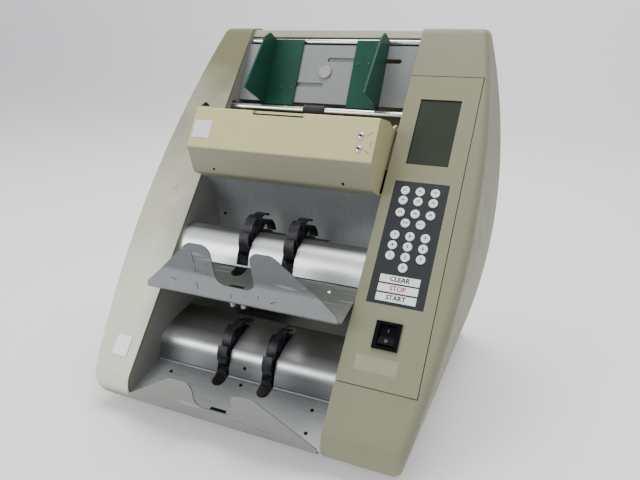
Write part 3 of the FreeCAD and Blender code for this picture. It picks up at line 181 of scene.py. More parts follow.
@dataclass(frozen=True)
class MouldedAbs(Finish):
    """Injection moulded ABS: a fine spark texture, with yellowing and handling marks on old housings.

    Each shell goes from its base colour to a top tone between two heights in mm; on the left pod that darker
    top is painted shade. Another tone on the faces that look one way is painted light and shade, by facing.
    Each scuff has its place and radius in mm.
    """

    top_tone: str = "B7B095"
    top_tone_from: float = 0.0
    top_tone_to: float = 350.0
    light_by_facing_tone: str = ""
    light_by_facing_toward: Place = (0.0, 0.0, 1.0)
    light_by_facing_from: float = -0.15
    light_by_facing_to: float = 0.25
    mottle_mm: float = 24.0
    cloud_mm: float = 110.0
    cloud_rise: float = 0.06
    grain_mm: float = 1.1
    grain_rise_mm: float = 0.3
    bump: float = 0.06
    grime: str = "6F6A58"
    scuff_mm: float = 5.0
    scuffed: str = "7C7462"
    scuffs: tuple[tuple[float, float, float, float], ...] = ()

    def shade(self, tree: bpy.types.NodeTree, shader: bpy.types.Node) -> None:
        """Blend clean and yellowed plastic by height, then add grime, scuffs and texture.

        Args:
            tree: node tree of the material.
            shader: its main shader.
        """
        coords = add_node(tree, "TexCoord")
        place = coords.outputs["Object"]
        cloud = add_node(tree, "TexNoise", {"Vector": place, "Scale": per_metre(self.cloud_mm),
                                            "Detail": 3.0})
        height = add_node(tree, "SeparateXYZ", {"Vector": place})
        drift = add_node(tree, "MapRange", {"Value": cloud.outputs["Fac"], 1: 0.3, 2: 0.7,
                                            3: -self.cloud_rise, 4: self.cloud_rise})
        level = add_node(tree, "Math", {0: height.outputs["Z"], 1: drift.outputs[0]})
        # Blend to the top tone by height: on the left pod this darker top is painted shade
        top_tone_blend = add_node(tree, "MapRange", {"Value": level.outputs[0], 1: self.top_tone_from * MM,
                                          2: self.top_tone_to * MM})
        tone = add_node(tree, "Mix", {"Factor": top_tone_blend.outputs[0], 6: srgb(self.colour), 7: srgb(self.top_tone)},
                        data_type="RGBA")
        colour = tone.outputs[2]
        # Painted light and shade by facing: faces that look one way take another tone
        if self.light_by_facing_tone:
            facing = add_node(tree, "VectorMath", {0: coords.outputs["Normal"], 1: self.light_by_facing_toward},
                              operation="DOT_PRODUCT")
            turned = add_node(tree, "MapRange", {"Value": facing.outputs["Value"], 1: self.light_by_facing_from,
                                                 2: self.light_by_facing_to})
            light_by_facing_mix = add_node(tree, "Mix", {"Factor": turned.outputs[0], 6: colour, 7: srgb(self.light_by_facing_tone)},
                             data_type="RGBA")
            colour = light_by_facing_mix.outputs[2]
        smear = add_node(tree, "TexNoise", {"Vector": place, "Scale": per_metre(self.mottle_mm),
                                            "Detail": 8.0, "Roughness": 0.7})
        film = add_node(tree, "MapRange", {"Value": smear.outputs["Fac"], 1: 0.56, 2: 0.85, 4: 0.28})
        dirty = add_node(tree, "Mix", {"Factor": film.outputs[0], 6: colour, 7: srgb(self.grime)},
                         data_type="RGBA")
        colour = dirty.outputs[2]
        for x, y, z, radius in self.scuffs:
            apart = add_node(tree, "VectorMath", {0: place, 1: (x * MM, y * MM, z * MM)},
                             operation="DISTANCE")
            near = add_node(tree, "MapRange", {"Value": apart.outputs["Value"], 1: radius * MM, 2: 0.0})
            streak = add_node(tree, "TexNoise", {"Vector": place, "Scale": per_metre(self.scuff_mm),
                                                 "Detail": 6.0})
            wear_and_painted_light = add_node(tree, "MapRange", {"Value": streak.outputs["Fac"], 1: 0.48, 2: 0.62, 4: 0.6})
            both = add_node(tree, "Math", {0: near.outputs[0], 1: wear_and_painted_light.outputs[0]}, operation="MULTIPLY")
            mark = add_node(tree, "Mix", {"Factor": both.outputs[0], 6: colour, 7: srgb(self.scuffed)},
                            data_type="RGBA")
            colour = mark.outputs[2]
        tree.links.new(colour, shader.inputs["Base Color"])
        grain = add_node(tree, "TexNoise", {"Vector": place, "Scale": per_metre(self.grain_mm),
                                            "Detail": 2.0})
        rough = add_node(tree, "MapRange", {"Value": smear.outputs["Fac"], 1: 0.3, 2: 0.7,
                                            3: self.roughness - 0.06, 4: self.roughness + 0.1})
        tree.links.new(rough.outputs[0], shader.inputs["Roughness"])
        # The moulded grain is about 0.1 mm on the real housing, drawn coarser so that it shows
        bump = add_node(tree, "Bump", {"Height": grain.outputs["Fac"], "Strength": self.bump,
                                       "Distance": self.grain_rise_mm * MM})
        tree.links.new(bump.outputs["Normal"], shader.inputs["Normal"])


@dataclass(frozen=True)
class BrushedStainless(Finish):
    """Stainless sheet brushed along the machine's width: long fine streaks and a soft stretched highlight.

    Its tone may change from front to back in stripes of painted light and shade, each with its Y in mm.
    Each kind of mark on a scratched sheet has its turn in radians, its tone and its strength.
    """

    mottle_mm: float = 3.2
    streak_mm: float = 0.9
    run_mm: float = 90.0
    contrast: float = 0.16
    scratches: float = 0.0
    speckle: float = 0.1
    patchy: float = 0.08
    brush_mm: float = 0.006
    painted_light_bands: tuple[tuple[float, str], ...] = ()
    scratch_mm: float = 1.6
    scratch_run_mm: float = 55.0
    marks: tuple[tuple[float, str, float], ...] = ((0.5, "5B5F60", 0.5), (-0.35, "D9DBDA", 0.42))

    def shade(self, tree: bpy.types.NodeTree, shader: bpy.types.Node) -> None:
        """Lay brushing streaks, mottle and any scratches.

        Args:
            tree: node tree of the material.
            shader: its main shader.
        """
        place = add_node(tree, "TexCoord").outputs["Object"]
        # Brushing marks are about 0.1 mm wide on the real sheets, drawn coarser so that they show
        along = add_node(tree, "Mapping", {"Vector": place, "Scale": (
            per_metre(self.run_mm), per_metre(self.streak_mm), per_metre(self.streak_mm))})
        streak = add_node(tree, "TexNoise", {"Vector": along.outputs[0], "Scale": 1.0, "Detail": 4.0})
        mottle = add_node(tree, "TexNoise", {"Vector": place, "Scale": per_metre(self.mottle_mm),
                                             "Detail": 5.0, "Roughness": 0.75})
        grey = add_node(tree, "MapRange", {"Value": streak.outputs["Fac"], 1: 0.25, 2: 0.75,
                                           3: 1.0 - self.contrast, 4: 1.0 + self.contrast})
        spots = add_node(tree, "MapRange", {"Value": mottle.outputs["Fac"], 1: 0.3, 2: 0.7,
                                            3: 1.0 - self.speckle, 4: 1.0 + self.speckle})
        both = add_node(tree, "Math", {0: grey.outputs[0], 1: spots.outputs[0]}, operation="MULTIPLY")
        base = srgb(self.colour)
        # Front-to-back band tones paint highlight and shade on the drums and trays
        if self.painted_light_bands:
            depth = add_node(tree, "SeparateXYZ", {"Vector": place}).outputs["Y"]
            base = srgb(self.painted_light_bands[0][1])
            for (start, _), (end, code) in zip(self.painted_light_bands, self.painted_light_bands[1:]):
                blend = add_node(tree, "MapRange", {"Value": depth, 1: start * MM, 2: end * MM})
                wear_and_painted_light = add_node(tree, "Mix", {"Factor": blend.outputs[0], 6: base, 7: srgb(code)},
                                data_type="RGBA")
                base = wear_and_painted_light.outputs[2]
        tone = add_node(tree, "Mix", {"Factor": 1.0, 6: base, 7: both.outputs[0]},
                        data_type="RGBA", blend_type="MULTIPLY")
        colour = tone.outputs[2]
        if self.scratches > 0:
            colour = self.scratched(tree, place, colour)
        tree.links.new(colour, shader.inputs["Base Color"])
        rough = add_node(tree, "MapRange", {"Value": mottle.outputs["Fac"], 1: 0.3, 2: 0.7,
                                            3: self.roughness - self.patchy, 4: self.roughness + self.patchy})
        tree.links.new(rough.outputs[0], shader.inputs["Roughness"])
        bump = add_node(tree, "Bump", {"Height": streak.outputs["Fac"], "Strength": 1.0,
                                       "Distance": self.brush_mm * MM})
        tree.links.new(bump.outputs["Normal"], shader.inputs["Normal"])

    def scratched(self, tree: bpy.types.NodeTree, place: bpy.types.NodeSocket,
                  colour: bpy.types.NodeSocket) -> bpy.types.NodeSocket:
        """Draw dark rub marks and bright hairlines over the sheet.

        Args:
            tree: node tree of the material.
            place: coordinates of the sheet.
            colour: colour so far.

        Returns:
            The marked colour.
        """
        run, across = per_metre(self.scratch_run_mm), per_metre(self.scratch_mm)
        for turn, tone, strength in self.marks:
            slant = add_node(tree, "Mapping", {"Vector": place, "Rotation": (0.0, turn, turn),
                                               "Scale": (run, across, run)})
            line = add_node(tree, "TexNoise", {"Vector": slant.outputs[0], "Scale": 1.0, "Detail": 1.0})
            cut = add_node(tree, "MapRange", {"Value": line.outputs["Fac"], 1: 0.66, 2: 0.74,
                                              4: self.scratches * strength})
            mark = add_node(tree, "Mix", {"Factor": cut.outputs[0], 6: colour, 7: srgb(tone)},
                            data_type="RGBA")
            colour = mark.outputs[2]
        return colour


@dataclass(frozen=True)
class PowderCoat(Finish):
    """Baked powder coat on steel sheet: slight orange peel, with rubbed and dusty patches."""

    mottle_mm: float = 34.0
    peel_mm: float = 1.6
    peel_rise_mm: float = 0.2
    bump: float = 0.08
    rubbed: str = "8A8C8C"
    rub: float = 0.35

    def shade(self, tree: bpy.types.NodeTree, shader: bpy.types.Node) -> None:
        """Add rubbed patches and the orange peel.

        Args:
            tree: node tree of the material.
            shader: its main shader.
        """
        place = add_node(tree, "TexCoord").outputs["Object"]
        patch = add_node(tree, "TexNoise", {"Vector": place, "Scale": per_metre(self.mottle_mm),
                                            "Detail": 7.0, "Roughness": 0.65})
        wear_and_painted_light = add_node(tree, "MapRange", {"Value": patch.outputs["Fac"], 1: 0.45, 2: 0.8, 4: self.rub})
        tone = add_node(tree, "Mix", {"Factor": wear_and_painted_light.outputs[0], 6: srgb(self.colour),
                                      7: srgb(self.rubbed)}, data_type="RGBA")
        tree.links.new(tone.outputs[2], shader.inputs["Base Color"])
        peel = add_node(tree, "TexNoise", {"Vector": place, "Scale": per_metre(self.peel_mm)})
        rough = add_node(tree, "MapRange", {"Value": patch.outputs["Fac"], 1: 0.3, 2: 0.7,
                                            3: self.roughness - 0.08, 4: self.roughness + 0.08})
        tree.links.new(rough.outputs[0], shader.inputs["Roughness"])
        bump = add_node(tree, "Bump", {"Height": peel.outputs["Fac"], "Strength": self.bump,
                                       "Distance": self.peel_rise_mm * MM})
        tree.links.new(bump.outputs["Normal"], shader.inputs["Normal"])


@dataclass(frozen=True)
class GuideEnamel(PowderCoat):
    """Green stove enamel on the guides' faces, with the racks behind the hopper plate left as bare zinc.

    The enamel ends between two depths in mm below the plate's face.
    """

    bare: str = "8B8F91"
    bare_from: float = 0.1
    bare_to: float = 0.5

    def shade(self, tree: bpy.types.NodeTree, shader: bpy.types.Node) -> None:
        """Enamel the faces, then leave what lies behind the plate bare.

        Args:
            tree: node tree of the material.
            shader: its main shader.
        """
        super().shade(tree, shader)
        enamel = shader.inputs["Base Color"].links[0].from_socket
        place = add_node(tree, "TexCoord").outputs["Object"]
        outward = HOPPER.matrix().to_3x3() @ Vector((0, 0, 1))
        _, high = HOPPER.extent("hopper_plate")
        depth = add_node(tree, "VectorMath", {0: place, 1: outward}, operation="DOT_PRODUCT")
        face = outward.dot(HOPPER.at(0.0, 0.0, high.z).translation)
        behind = add_node(tree, "MapRange", {"Value": depth.outputs["Value"], 1: face - self.bare_from * MM,
                                             2: face - self.bare_to * MM})
        tone = add_node(tree, "Mix", {"Factor": behind.outputs[0], 6: enamel, 7: srgb(self.bare)},
                        data_type="RGBA")
        tree.links.new(tone.outputs[2], shader.inputs["Base Color"])


@dataclass(frozen=True)
class MouldedElastomer(Finish):
    """Moulded rubber or soft nylon: matt black with grey dust in its grain and paler worn tips."""

    mottle_mm: float = 6.0
    grain_mm: float = 0.8
    grain_rise_mm: float = 0.15
    bump: float = 0.1
    dust: str = "6E6E7A"
    dusty: float = 0.25

    def shade(self, tree: bpy.types.NodeTree, shader: bpy.types.Node) -> None:
        """Add dust and grain.

        Args:
            tree: node tree of the material.
            shader: its main shader.
        """
        place = add_node(tree, "TexCoord").outputs["Object"]
        cloud = add_node(tree, "TexNoise", {"Vector": place, "Scale": per_metre(self.mottle_mm),
                                            "Detail": 8.0, "Roughness": 0.7})
        film = add_node(tree, "MapRange", {"Value": cloud.outputs["Fac"], 1: 0.42, 2: 0.72, 4: self.dusty})
        tone = add_node(tree, "Mix", {"Factor": film.outputs[0], 6: srgb(self.colour), 7: srgb(self.dust)},
                        data_type="RGBA")
        tree.links.new(tone.outputs[2], shader.inputs["Base Color"])
        grain = add_node(tree, "TexNoise", {"Vector": place, "Scale": per_metre(self.grain_mm)})
        bump = add_node(tree, "Bump", {"Height": grain.outputs["Fac"], "Strength": self.bump,
                                       "Distance": self.grain_rise_mm * MM})
        tree.links.new(bump.outputs["Normal"], shader.inputs["Normal"])


@dataclass(frozen=True)
class DisplayWindow(Finish):
    """Acrylic window over an unlit liquid crystal panel: grey-green depth under a smooth clear face."""

    mottle_mm: float = 18.0
    # Tone of the panel's top: painted shade
    edge: str = "33382F"

    def shade(self, tree: bpy.types.NodeTree, shader: bpy.types.Node) -> None:
        """Paint shade on the panel, slightly darker toward its top, under a clear coat.

        Args:
            tree: node tree of the material.
            shader: its main shader.
        """
        place = add_node(tree, "TexCoord").outputs["Object"]
        split = add_node(tree, "SeparateXYZ", {"Vector": place})
        low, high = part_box("display_window")
        fade = add_node(tree, "MapRange", {"Value": split.outputs["Z"], 1: low.z, 2: high.z})
        tone = add_node(tree, "Mix", {"Factor": fade.outputs[0], 6: srgb(self.colour), 7: srgb(self.edge)},
                        data_type="RGBA")
        haze = add_node(tree, "TexNoise", {"Vector": place, "Scale": per_metre(self.mottle_mm),
                                           "Detail": 4.0})
        rough = add_node(tree, "MapRange", {"Value": haze.outputs["Fac"], 1: 0.3, 2: 0.7,
                                            3: self.roughness - 0.02, 4: self.roughness + 0.03})
        tree.links.new(tone.outputs[2], shader.inputs["Base Color"])
        tree.links.new(rough.outputs[0], shader.inputs["Roughness"])


class Finishes:
    """Every finish of the machine."""

    # Light warm grey moulded ABS, dull, slightly yellowed; the left pod's pale front is painted light, its
    # dark top painted shade
    POD_LEFT = MouldedAbs("abs_moulded_left_pod", "E0DFCC", 0.55, gloss=0.35, top_tone="787557", top_tone_from=95.0,
                          top_tone_to=320.0, light_by_facing_tone="8A8A70", light_by_facing_toward=(0.0, 0.77, -0.64), light_by_facing_from=-0.8,
                          light_by_facing_to=-0.35, scuffs=((-139, -12.6, 192.5, 14), (-120.2, -100.4, 87.8, 2.5)))
    POD_RIGHT = MouldedAbs("abs_moulded_right_pod", "87886D", 0.55, gloss=0.35, top_tone="87846D",
                           scuffs=((170.9, -76.5, 109.6, 9), (173.8, -11.6, 189.7, 9), (112, 86.1, 309.5, 8)))
    LID = MouldedAbs("abs_moulded_console_lid", "8B8D74", 0.5, gloss=0.35, top_tone="868364")
    LID_CLEAN = MouldedAbs("abs_moulded_lid_unfaded", "999A7E", 0.5, gloss=0.35, top_tone="99967A")
    # The hood is smoother from handling; its pale upward faces are painted light, its lower faces painted
    # shade
    HOOD = MouldedAbs("abs_moulded_hood", "868977", 0.48, gloss=0.4, top_tone="8C8B73", light_by_facing_tone="CAC48C",
                      light_by_facing_toward=(0.08, 0.0, 1.0))
    # Bright stainless with long brushing marks, and band tones that paint highlight and shade
    # The upper drum darkens toward its back edge: painted shade
    DRUM_UPPER = BrushedStainless("stainless_brushed_upper_drum", "F6F8F8", 0.36, 0.7, streak_mm=0.6,
                                  contrast=0.08, speckle=0.03, patchy=0.02, brush_mm=0.001,
                                  painted_light_bands=((-39.0, "F6F8F8"), (-30.0, "6E706F")))
    # The lower drum: a shaded riser, a painted highlight along its crest and a shaded crown
    DRUM_LOWER = BrushedStainless("stainless_brushed_lower_drum", "EEF0F0", 0.36, 0.75, streak_mm=0.6,
                                  contrast=0.08, speckle=0.03, patchy=0.02, brush_mm=0.001,
                                  painted_light_bands=((-90.5, "8C8F90"), (-87.0, "F4F6F6"), (-81.0, "F4F6F6"),
                                         (-71.0, "A2A39E"), (-48.0, "6C6C66")))
    # Rubbed sheet, dull grey with many marks from use; band tones paint light and shade: the lip bright at
    # its foot, the floor darkest
    TRAY_UPPER = BrushedStainless("stainless_worn_upper_tray", "868A8A", 0.42, 0.9, streak_mm=2.5, run_mm=8.0,
                                  contrast=0.05, scratches=0.8,
                                  painted_light_bands=((-104.6, "696D6E"), (-103.4, "858989"), (-102.5, "858989"),
                                         (-100.5, "5C5F5A")))
    TRAY_LOWER = BrushedStainless("stainless_worn_lower_tray", "999A95", 0.5, 0.9, streak_mm=2.5, run_mm=8.0,
                                  contrast=0.05, scratches=0.6,
                                  painted_light_bands=((-146.0, "8E8F8A"), (-142.0, "A8ABAB")))
    BACK_SHEET = BrushedStainless("stainless_satin_pocket_back", "ABB0B0", 0.5, 0.5, streak_mm=14.0,
                                  run_mm=3.0, contrast=0.07, speckle=0.04)
    PLATED = BrushedStainless("steel_plated_turned", "D8D9DA", 0.2, 1.0, streak_mm=0.6, run_mm=4.0,
                              contrast=0.05)
    ALLOY = BrushedStainless("aluminium_turned", "B9BBBC", 0.35, 1.0, streak_mm=0.5, run_mm=3.0)
    BRONZE = BrushedStainless("bronze_sintered", "7D7462", 0.5, 1.0, contrast=0.05)
    # Painted and blackened steel: a dark sheet behind the vents as painted shade, grey plate, dull walls and
    # green guides
    VENT_SHADE = PowderCoat("dark_vent_shade_sheet", "1E2022", 0.6, gloss=0.1, rubbed="2C2E30")
    PLATE_GREY = PowderCoat("steel_powder_coated_plate", "8E9092", 0.45, rubbed="9C9E9F")
    WALL_GREY = PowderCoat("steel_powder_coated_walls", "979690", 0.55, rubbed="8B8A83")
    COVER_GREY = PowderCoat("steel_powder_coated_cover", "A5A28C", 0.5, rubbed="989582")
    GREEN = GuideEnamel("steel_green_enamel_guides", "1C4A3C", 0.45, gloss=0.2, rubbed="265A4A", rub=0.5)
    RIVET_GREEN = PowderCoat("steel_green_enamel_rivets", "2B5A4B", 0.45, gloss=0.2, rubbed="3A6A5A")
    MOTOR_CAN = PowderCoat("steel_painted_motor_can", "45484B", 0.4, rubbed="55585A")
    # Soft black parts, matt and dusty
    RUBBER = MouldedElastomer("rubber_nitrile_moulded", "17181A", 0.7)
    WHEEL = MouldedElastomer("polyurethane_moulded_wheels", "111216", 0.45, gloss=0.4, dusty=0.3)
    # Other plastics: satin film, white keys, shiny black switch, dull gear and glossy board
    FILM = MouldedElastomer("polyester_printed_film", "323436", 0.45, gloss=0.2, dust="3A3C3E", dusty=0.3)
    KEY = MouldedElastomer("abs_moulded_white_keys", "F4F7F6", 0.4, dust="E6E8E2", dusty=0.25)
    SWITCH = MouldedElastomer("polyamide_moulded_switch", "08080B", 0.35, gloss=0.08, dust="131318",
                              dusty=0.4)
    GEAR = MouldedElastomer("acetal_moulded_gear", "A6A8A8", 0.4, dust="939595")
    LAMINATE = PowderCoat("glass_epoxy_laminate", "2F5B3A", 0.4, rubbed="3A6A46")
    DISPLAY = DisplayWindow("acrylic_display_window", "3A4036", 0.25, gloss=0.12)
    # Print: flat dull inks
    INK_BLACK = Finish("ink_black_printed", "1C1E21", 0.7, gloss=0.1)
    INK_RED = Finish("ink_red_printed", "C23526", 0.7, gloss=0.1)
    INK_GREY = Finish("ink_grey_printed", "7E8186", 0.6, gloss=0.1)
    # Near black: sensor windows, and anything so deep or narrow that it reads as shadow
    HOLLOW = Finish("dark_lens_and_painted_shade", "0B0C0E", 0.4, gloss=0.15)
    # Bare badge blanks, satin silver; also the painted highlight along the lower floor's edge
    SATIN_SILVER = BrushedStainless("satin_silver_blank_and_highlight", "E2E4E5", 0.42, 0.4, streak_mm=0.7, contrast=0.05)


@dataclass(frozen=True)
class Slope:
    """A tilted working plane: X across, Y up the plane and Z outward."""

    foot_y: float
    foot_z: float
    tilt_deg: float

    def matrix(self) -> Matrix:
        """Placement of the plane in the machine's frame."""
        spot = Matrix.Translation((0.0, self.foot_y * MM, self.foot_z * MM))
        return spot @ Matrix.Rotation(math.radians(self.tilt_deg), 4, "X")

    def at(self, x: float, up: float, out: float) -> Matrix:
        """Placement at a point of the plane.

        Args:
            x: distance across in mm.
            up: distance up the plane in mm.
            out: distance outward in mm.

        Returns:
            Matrix with Z outward at that point.
        """
        return self.matrix() @ Matrix.Translation((x * MM, up * MM, out * MM))

    def facing(self, x: float, y: float, z: float) -> Matrix:
        """Placement at a point of the machine, turned like the plane.

        Args:
            x: distance to the right in mm.
            y: distance behind the front slope's foot in mm.
            z: height in mm.

        Returns:
            Matrix with Z along the plane's normal at that point.
        """
        spot = Matrix.Translation((x * MM, (y + SHIFT_Y) * MM, z * MM))
        return spot @ Matrix.Rotation(math.radians(self.tilt_deg), 4, "X")

    def extent(self, node: str) -> tuple[Vector, Vector]:
        """Lowest and highest corner of a node along the plane's axes.

        Args:
            node: name of the node.

        Returns:
            Two corners in mm.
        """
        inverse = self.matrix().inverted()
        points = [inverse @ v.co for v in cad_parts[node].data.vertices]
        low = Vector([min(p[i] for p in points) for i in range(3)]) / MM
        high = Vector([max(p[i] for p in points) for i in range(3)]) / MM
        return low, high


FRONT = Slope(SHIFT_Y, 6.0, 50.0)
LEVEL = Slope(SHIFT_Y, 0.0, 0.0)
UPRIGHT = Slope(SHIFT_Y, 0.0, 90.0)
HOPPER = Slope(SHIFT_Y, 0.0, 63.2)


def paint(node: str, finish: Finish) -> None:
    """Give a CAD node its finish.

    Args:
        node: name of the node.
        finish: finish to show.
    """
    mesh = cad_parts[node].data
    mesh.materials.clear()
    mesh.materials.append(finish.material())
    LOG.info("dressed %s in %s", node, finish.name)


class Seat:
    """Finds the surface of a node so that a small piece sits on it."""

    trees: dict[str, BVHTree] = {}

    @classmethod
    def on(cls, node: str, aim: Matrix, reach_mm: float = 120.0) -> Matrix:
        """Drop a placement onto a node along its own minus Z.

        Args:
            node: node that carries the piece.
            aim: placement above the surface, Z pointing away from it.
            reach_mm: how far above the aim the search starts.

        Returns:
            Placement on the surface with Z along its normal and X kept.
        """
        if node not in cls.trees:
            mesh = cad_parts[node].data
            mesh.calc_loop_triangles()
            cls.trees[node] = BVHTree.FromPolygons([v.co for v in mesh.vertices],
                                                   [t.vertices for t in mesh.loop_triangles])
        out = (aim.to_3x3() @ Vector((0, 0, 1))).normalized()
        start = aim.translation + out * reach_mm * MM
        hit, normal, _, _ = cls.trees[node].ray_cast(start, -out)
        if hit is None:
            raise ValueError(f"nothing of {node} under {tuple(aim.translation)}")
        if normal.dot(out) < 0:
            normal = -normal
        side = (aim.to_3x3() @ Vector((1, 0, 0))).normalized()
        side = (side - normal * side.dot(normal)).normalized()
        turn = Matrix((side, normal.cross(side), normal)).transposed().to_4x4()
        return Matrix.Translation(hit) @ turn


class Shop:
    """Makes small pieces and puts them on their bodies."""

    made: list[str] = []
    crease_deg: float = 35.0
    # Font size over the height of its capitals, and how much bolder the print is, as a share of that height
    letter_size: float = 1.38
    letter_weight: float = 0.035

    @classmethod
    def place(cls, name: str, mesh: bpy.types.Mesh, where: Matrix, finish: Finish, body: str, slot: str,
              smooth: bool = True) -> bpy.types.Object:
        """Put a mesh in the scene as a piece that rides on a body.

        Args:
            name: name of the piece.
            mesh: its mesh, in metres.
            where: its placement.
            finish: its finish.
            body: body that it rides on.
            slot: not used.
            smooth: whether its rounded faces are shaded smooth.

        Returns:
            The new object.
        """
        mesh.materials.clear()
        mesh.materials.append(finish.material())
        piece = bpy.data.objects.new(name, mesh)
        bpy.context.scene.collection.objects.link(piece)
        piece.matrix_world = where
        if smooth:
            mesh.shade_smooth()
            mesh.set_sharp_from_angle(angle=math.radians(cls.crease_deg))
        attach(piece, body)
        cls.made.append(name)
        LOG.info("made %s on %s", name, body)
        return piece

    @staticmethod
    def mesh_of(shape: bmesh.types.BMesh, name: str) -> bpy.types.Mesh:
        """Turn a working mesh into a stored one with outward normals.

        Args:
            shape: working mesh, freed here.
            name: name of the mesh.

        Returns:
            The stored mesh.
        """
        bmesh.ops.remove_doubles(shape, verts=shape.verts, dist=1e-7)
        bmesh.ops.recalc_face_normals(shape, faces=shape.faces)
        mesh = bpy.data.meshes.new(name)
        shape.to_mesh(mesh)
        shape.free()
        return mesh

    @classmethod
    def turned(cls, name: str, profile: Outline, steps: int = 24) -> bpy.types.Mesh:
        """Revolve a profile about Z.

        Args:
            name: name of the mesh.
            profile: radius and height pairs in mm, from the axis round to the axis.
            steps: number of sides.

        Returns:
            Closed turned mesh.
        """
        shape = bmesh.new()
        rings = []
        for radius, height in profile:
            if radius == 0:
                rings.append([shape.verts.new((0, 0, height * MM))])
                continue
            rings.append([shape.verts.new((radius * MM * math.cos(2 * math.pi * i / steps),
                                           radius * MM * math.sin(2 * math.pi * i / steps), height * MM))
                          for i in range(steps)])
        for a, b in zip(rings, rings[1:]):
            for i in range(steps):
                corners = [a[i % len(a)], a[(i + 1) % len(a)], b[(i + 1) % len(b)], b[i % len(b)]]
                unique = list(dict.fromkeys(corners))
                if len(unique) > 2:
                    shape.faces.new(unique)
        return cls.mesh_of(shape, name)

    @classmethod
    def plate(cls, name: str, outline: Outline, thickness: float, bevel: float = 0.2) -> bpy.types.Mesh:
        """Cut a flat plate from an outline, with a softened upper edge.

        Args:
            name: name of the mesh.
            outline: corners in mm, counter-clockwise, seen from outside.
            thickness: height of the plate in mm.
            bevel: size of the soft edge in mm.

        Returns:
            Closed plate mesh standing on Z zero.
        """
        shape = bmesh.new()
        lower, upper = ([shape.verts.new((x * MM, y * MM, z * MM)) for x, y in outline]
                        for z in (0.0, thickness))
        for i in range(len(outline)):
            j = (i + 1) % len(outline)
            shape.faces.new((lower[i], lower[j], upper[j], upper[i]))
        shape.faces.new(lower)
        top = shape.faces.new(upper)
        if bevel > 0:
            bmesh.ops.bevel(shape, geom=list(top.edges), offset=bevel * MM, segments=2, affect="EDGES",
                            profile=0.5)
        return cls.mesh_of(shape, name)

    @classmethod
    def rim(cls, name: str, outer: Outline, inner: Outline, thickness: float) -> bpy.types.Mesh:
        """Cut a flat frame between two outlines with as many corners each.

        Args:
            name: name of the mesh.
            outer: outer corners in mm, counter-clockwise, seen from outside.
            inner: inner corners in the same order.
            thickness: height of the frame in mm.

        Returns:
            Closed frame mesh standing on Z zero.
        """
        shape = bmesh.new()
        loops = [[shape.verts.new((x * MM, y * MM, z * MM)) for x, y in outline]
                 for outline, z in ((outer, 0.0), (outer, thickness), (inner, thickness), (inner, 0.0))]
        for a, b in zip(loops, loops[1:] + loops[:1]):
            for i in range(len(outer)):
                j = (i + 1) % len(outer)
                shape.faces.new((a[i], a[j], b[j], b[i]))
        return cls.mesh_of(shape, name)

    @classmethod
    def print_mark(cls, name: str, words: str, height: float, where: Matrix, finish: Finish, body: str,
                   slot: str) -> bpy.types.Object:
        """Print plain characters as a thin film of ink.

        Args:
            name: name of the piece.
            words: characters to print.
            height: size of the letters in mm.
            where: placement of their middle on the surface.
            finish: ink.
            body: body that the print rides on.
            slot: record's material slot.

        Returns:
            The printed piece.
        """
        curve = bpy.data.curves.new(name, "FONT")
        curve.body = words
        curve.size = height * MM * cls.letter_size
        curve.align_x = "CENTER"
        curve.align_y = "CENTER"
        curve.resolution_u = 2
        curve.extrude = FILM_MM / 2 * MM
        curve.offset = height * MM * cls.letter_weight
        holder = bpy.data.objects.new(name + "_curve", curve)
        bpy.context.scene.collection.objects.link(holder)
        bpy.context.view_layer.update()
        mesh = bpy.data.meshes.new_from_object(holder.evaluated_get(bpy.context.evaluated_depsgraph_get()))
        bpy.data.objects.remove(holder)
        bpy.data.curves.remove(curve)
        mesh.name = name
        lifted = where @ Matrix.Translation((0, 0, FILM_MM * MM))
        return cls.place(name, mesh, lifted, finish, body, slot, smooth=False)

    @staticmethod
    def round_rectangle(width: float, height: float, radius: float, steps: int = 5) -> Outline:
        """Outline of a rectangle with round corners.

        Args:
            width: size across in mm.
            height: size up in mm.
            radius: corner radius in mm.
            steps: points in each corner.

        Returns:
            Corner points in mm, counter-clockwise.
        """
        points = []
        for turn, (sx, sy) in enumerate(((1, 1), (-1, 1), (-1, -1), (1, -1))):
            cx = sx * (width / 2 - radius)
            cy = sy * (height / 2 - radius)
            for i in range(steps):
                angle = math.radians(90 * (turn + i / (steps - 1)))
                points.append((cx + radius * math.cos(angle), cy + radius * math.sin(angle)))
        return points

    @classmethod
    def screw(cls, name: str, radius: float, where: Matrix, body: str, slot: str) -> None:
        """Pan head screw with its cross recess, whose hollow is painted shade on two flat dark plates.

        Args:
            name: name of the piece.
            radius: head radius in mm.
            where: placement on the surface.
            body: body that it rides on.
            slot: record's material slot.
        """
        rise = radius * 0.5
        profile = [(0, -0.2), (radius, -0.2), (radius, rise * 0.25), (radius * 0.86, rise * 0.65),
                   (radius * 0.6, rise * 0.92), (radius * 0.3, rise), (0, rise)]
        cls.place(name, cls.turned(name, profile, 28), where, Finishes.PLATED, body, slot)
        # The cross recess is two flat dark plates: painted shade
        for i, turn in enumerate((0.0, 90.0)):
            outline = cls.round_rectangle(radius * 1.15, radius * 0.28, radius * 0.1, 3)
            recess = cls.plate(f"{name}_recess_{i}", outline, 0.06, 0.0)
            spot = where @ Matrix.Rotation(math.radians(turn + 20), 4, "Z") @ Matrix.Translation(
                (0, 0, (rise + 0.01 * i) * MM))
            cls.place(f"{name}_recess_{i}", recess, spot, Finishes.HOLLOW, body, slot, smooth=False)


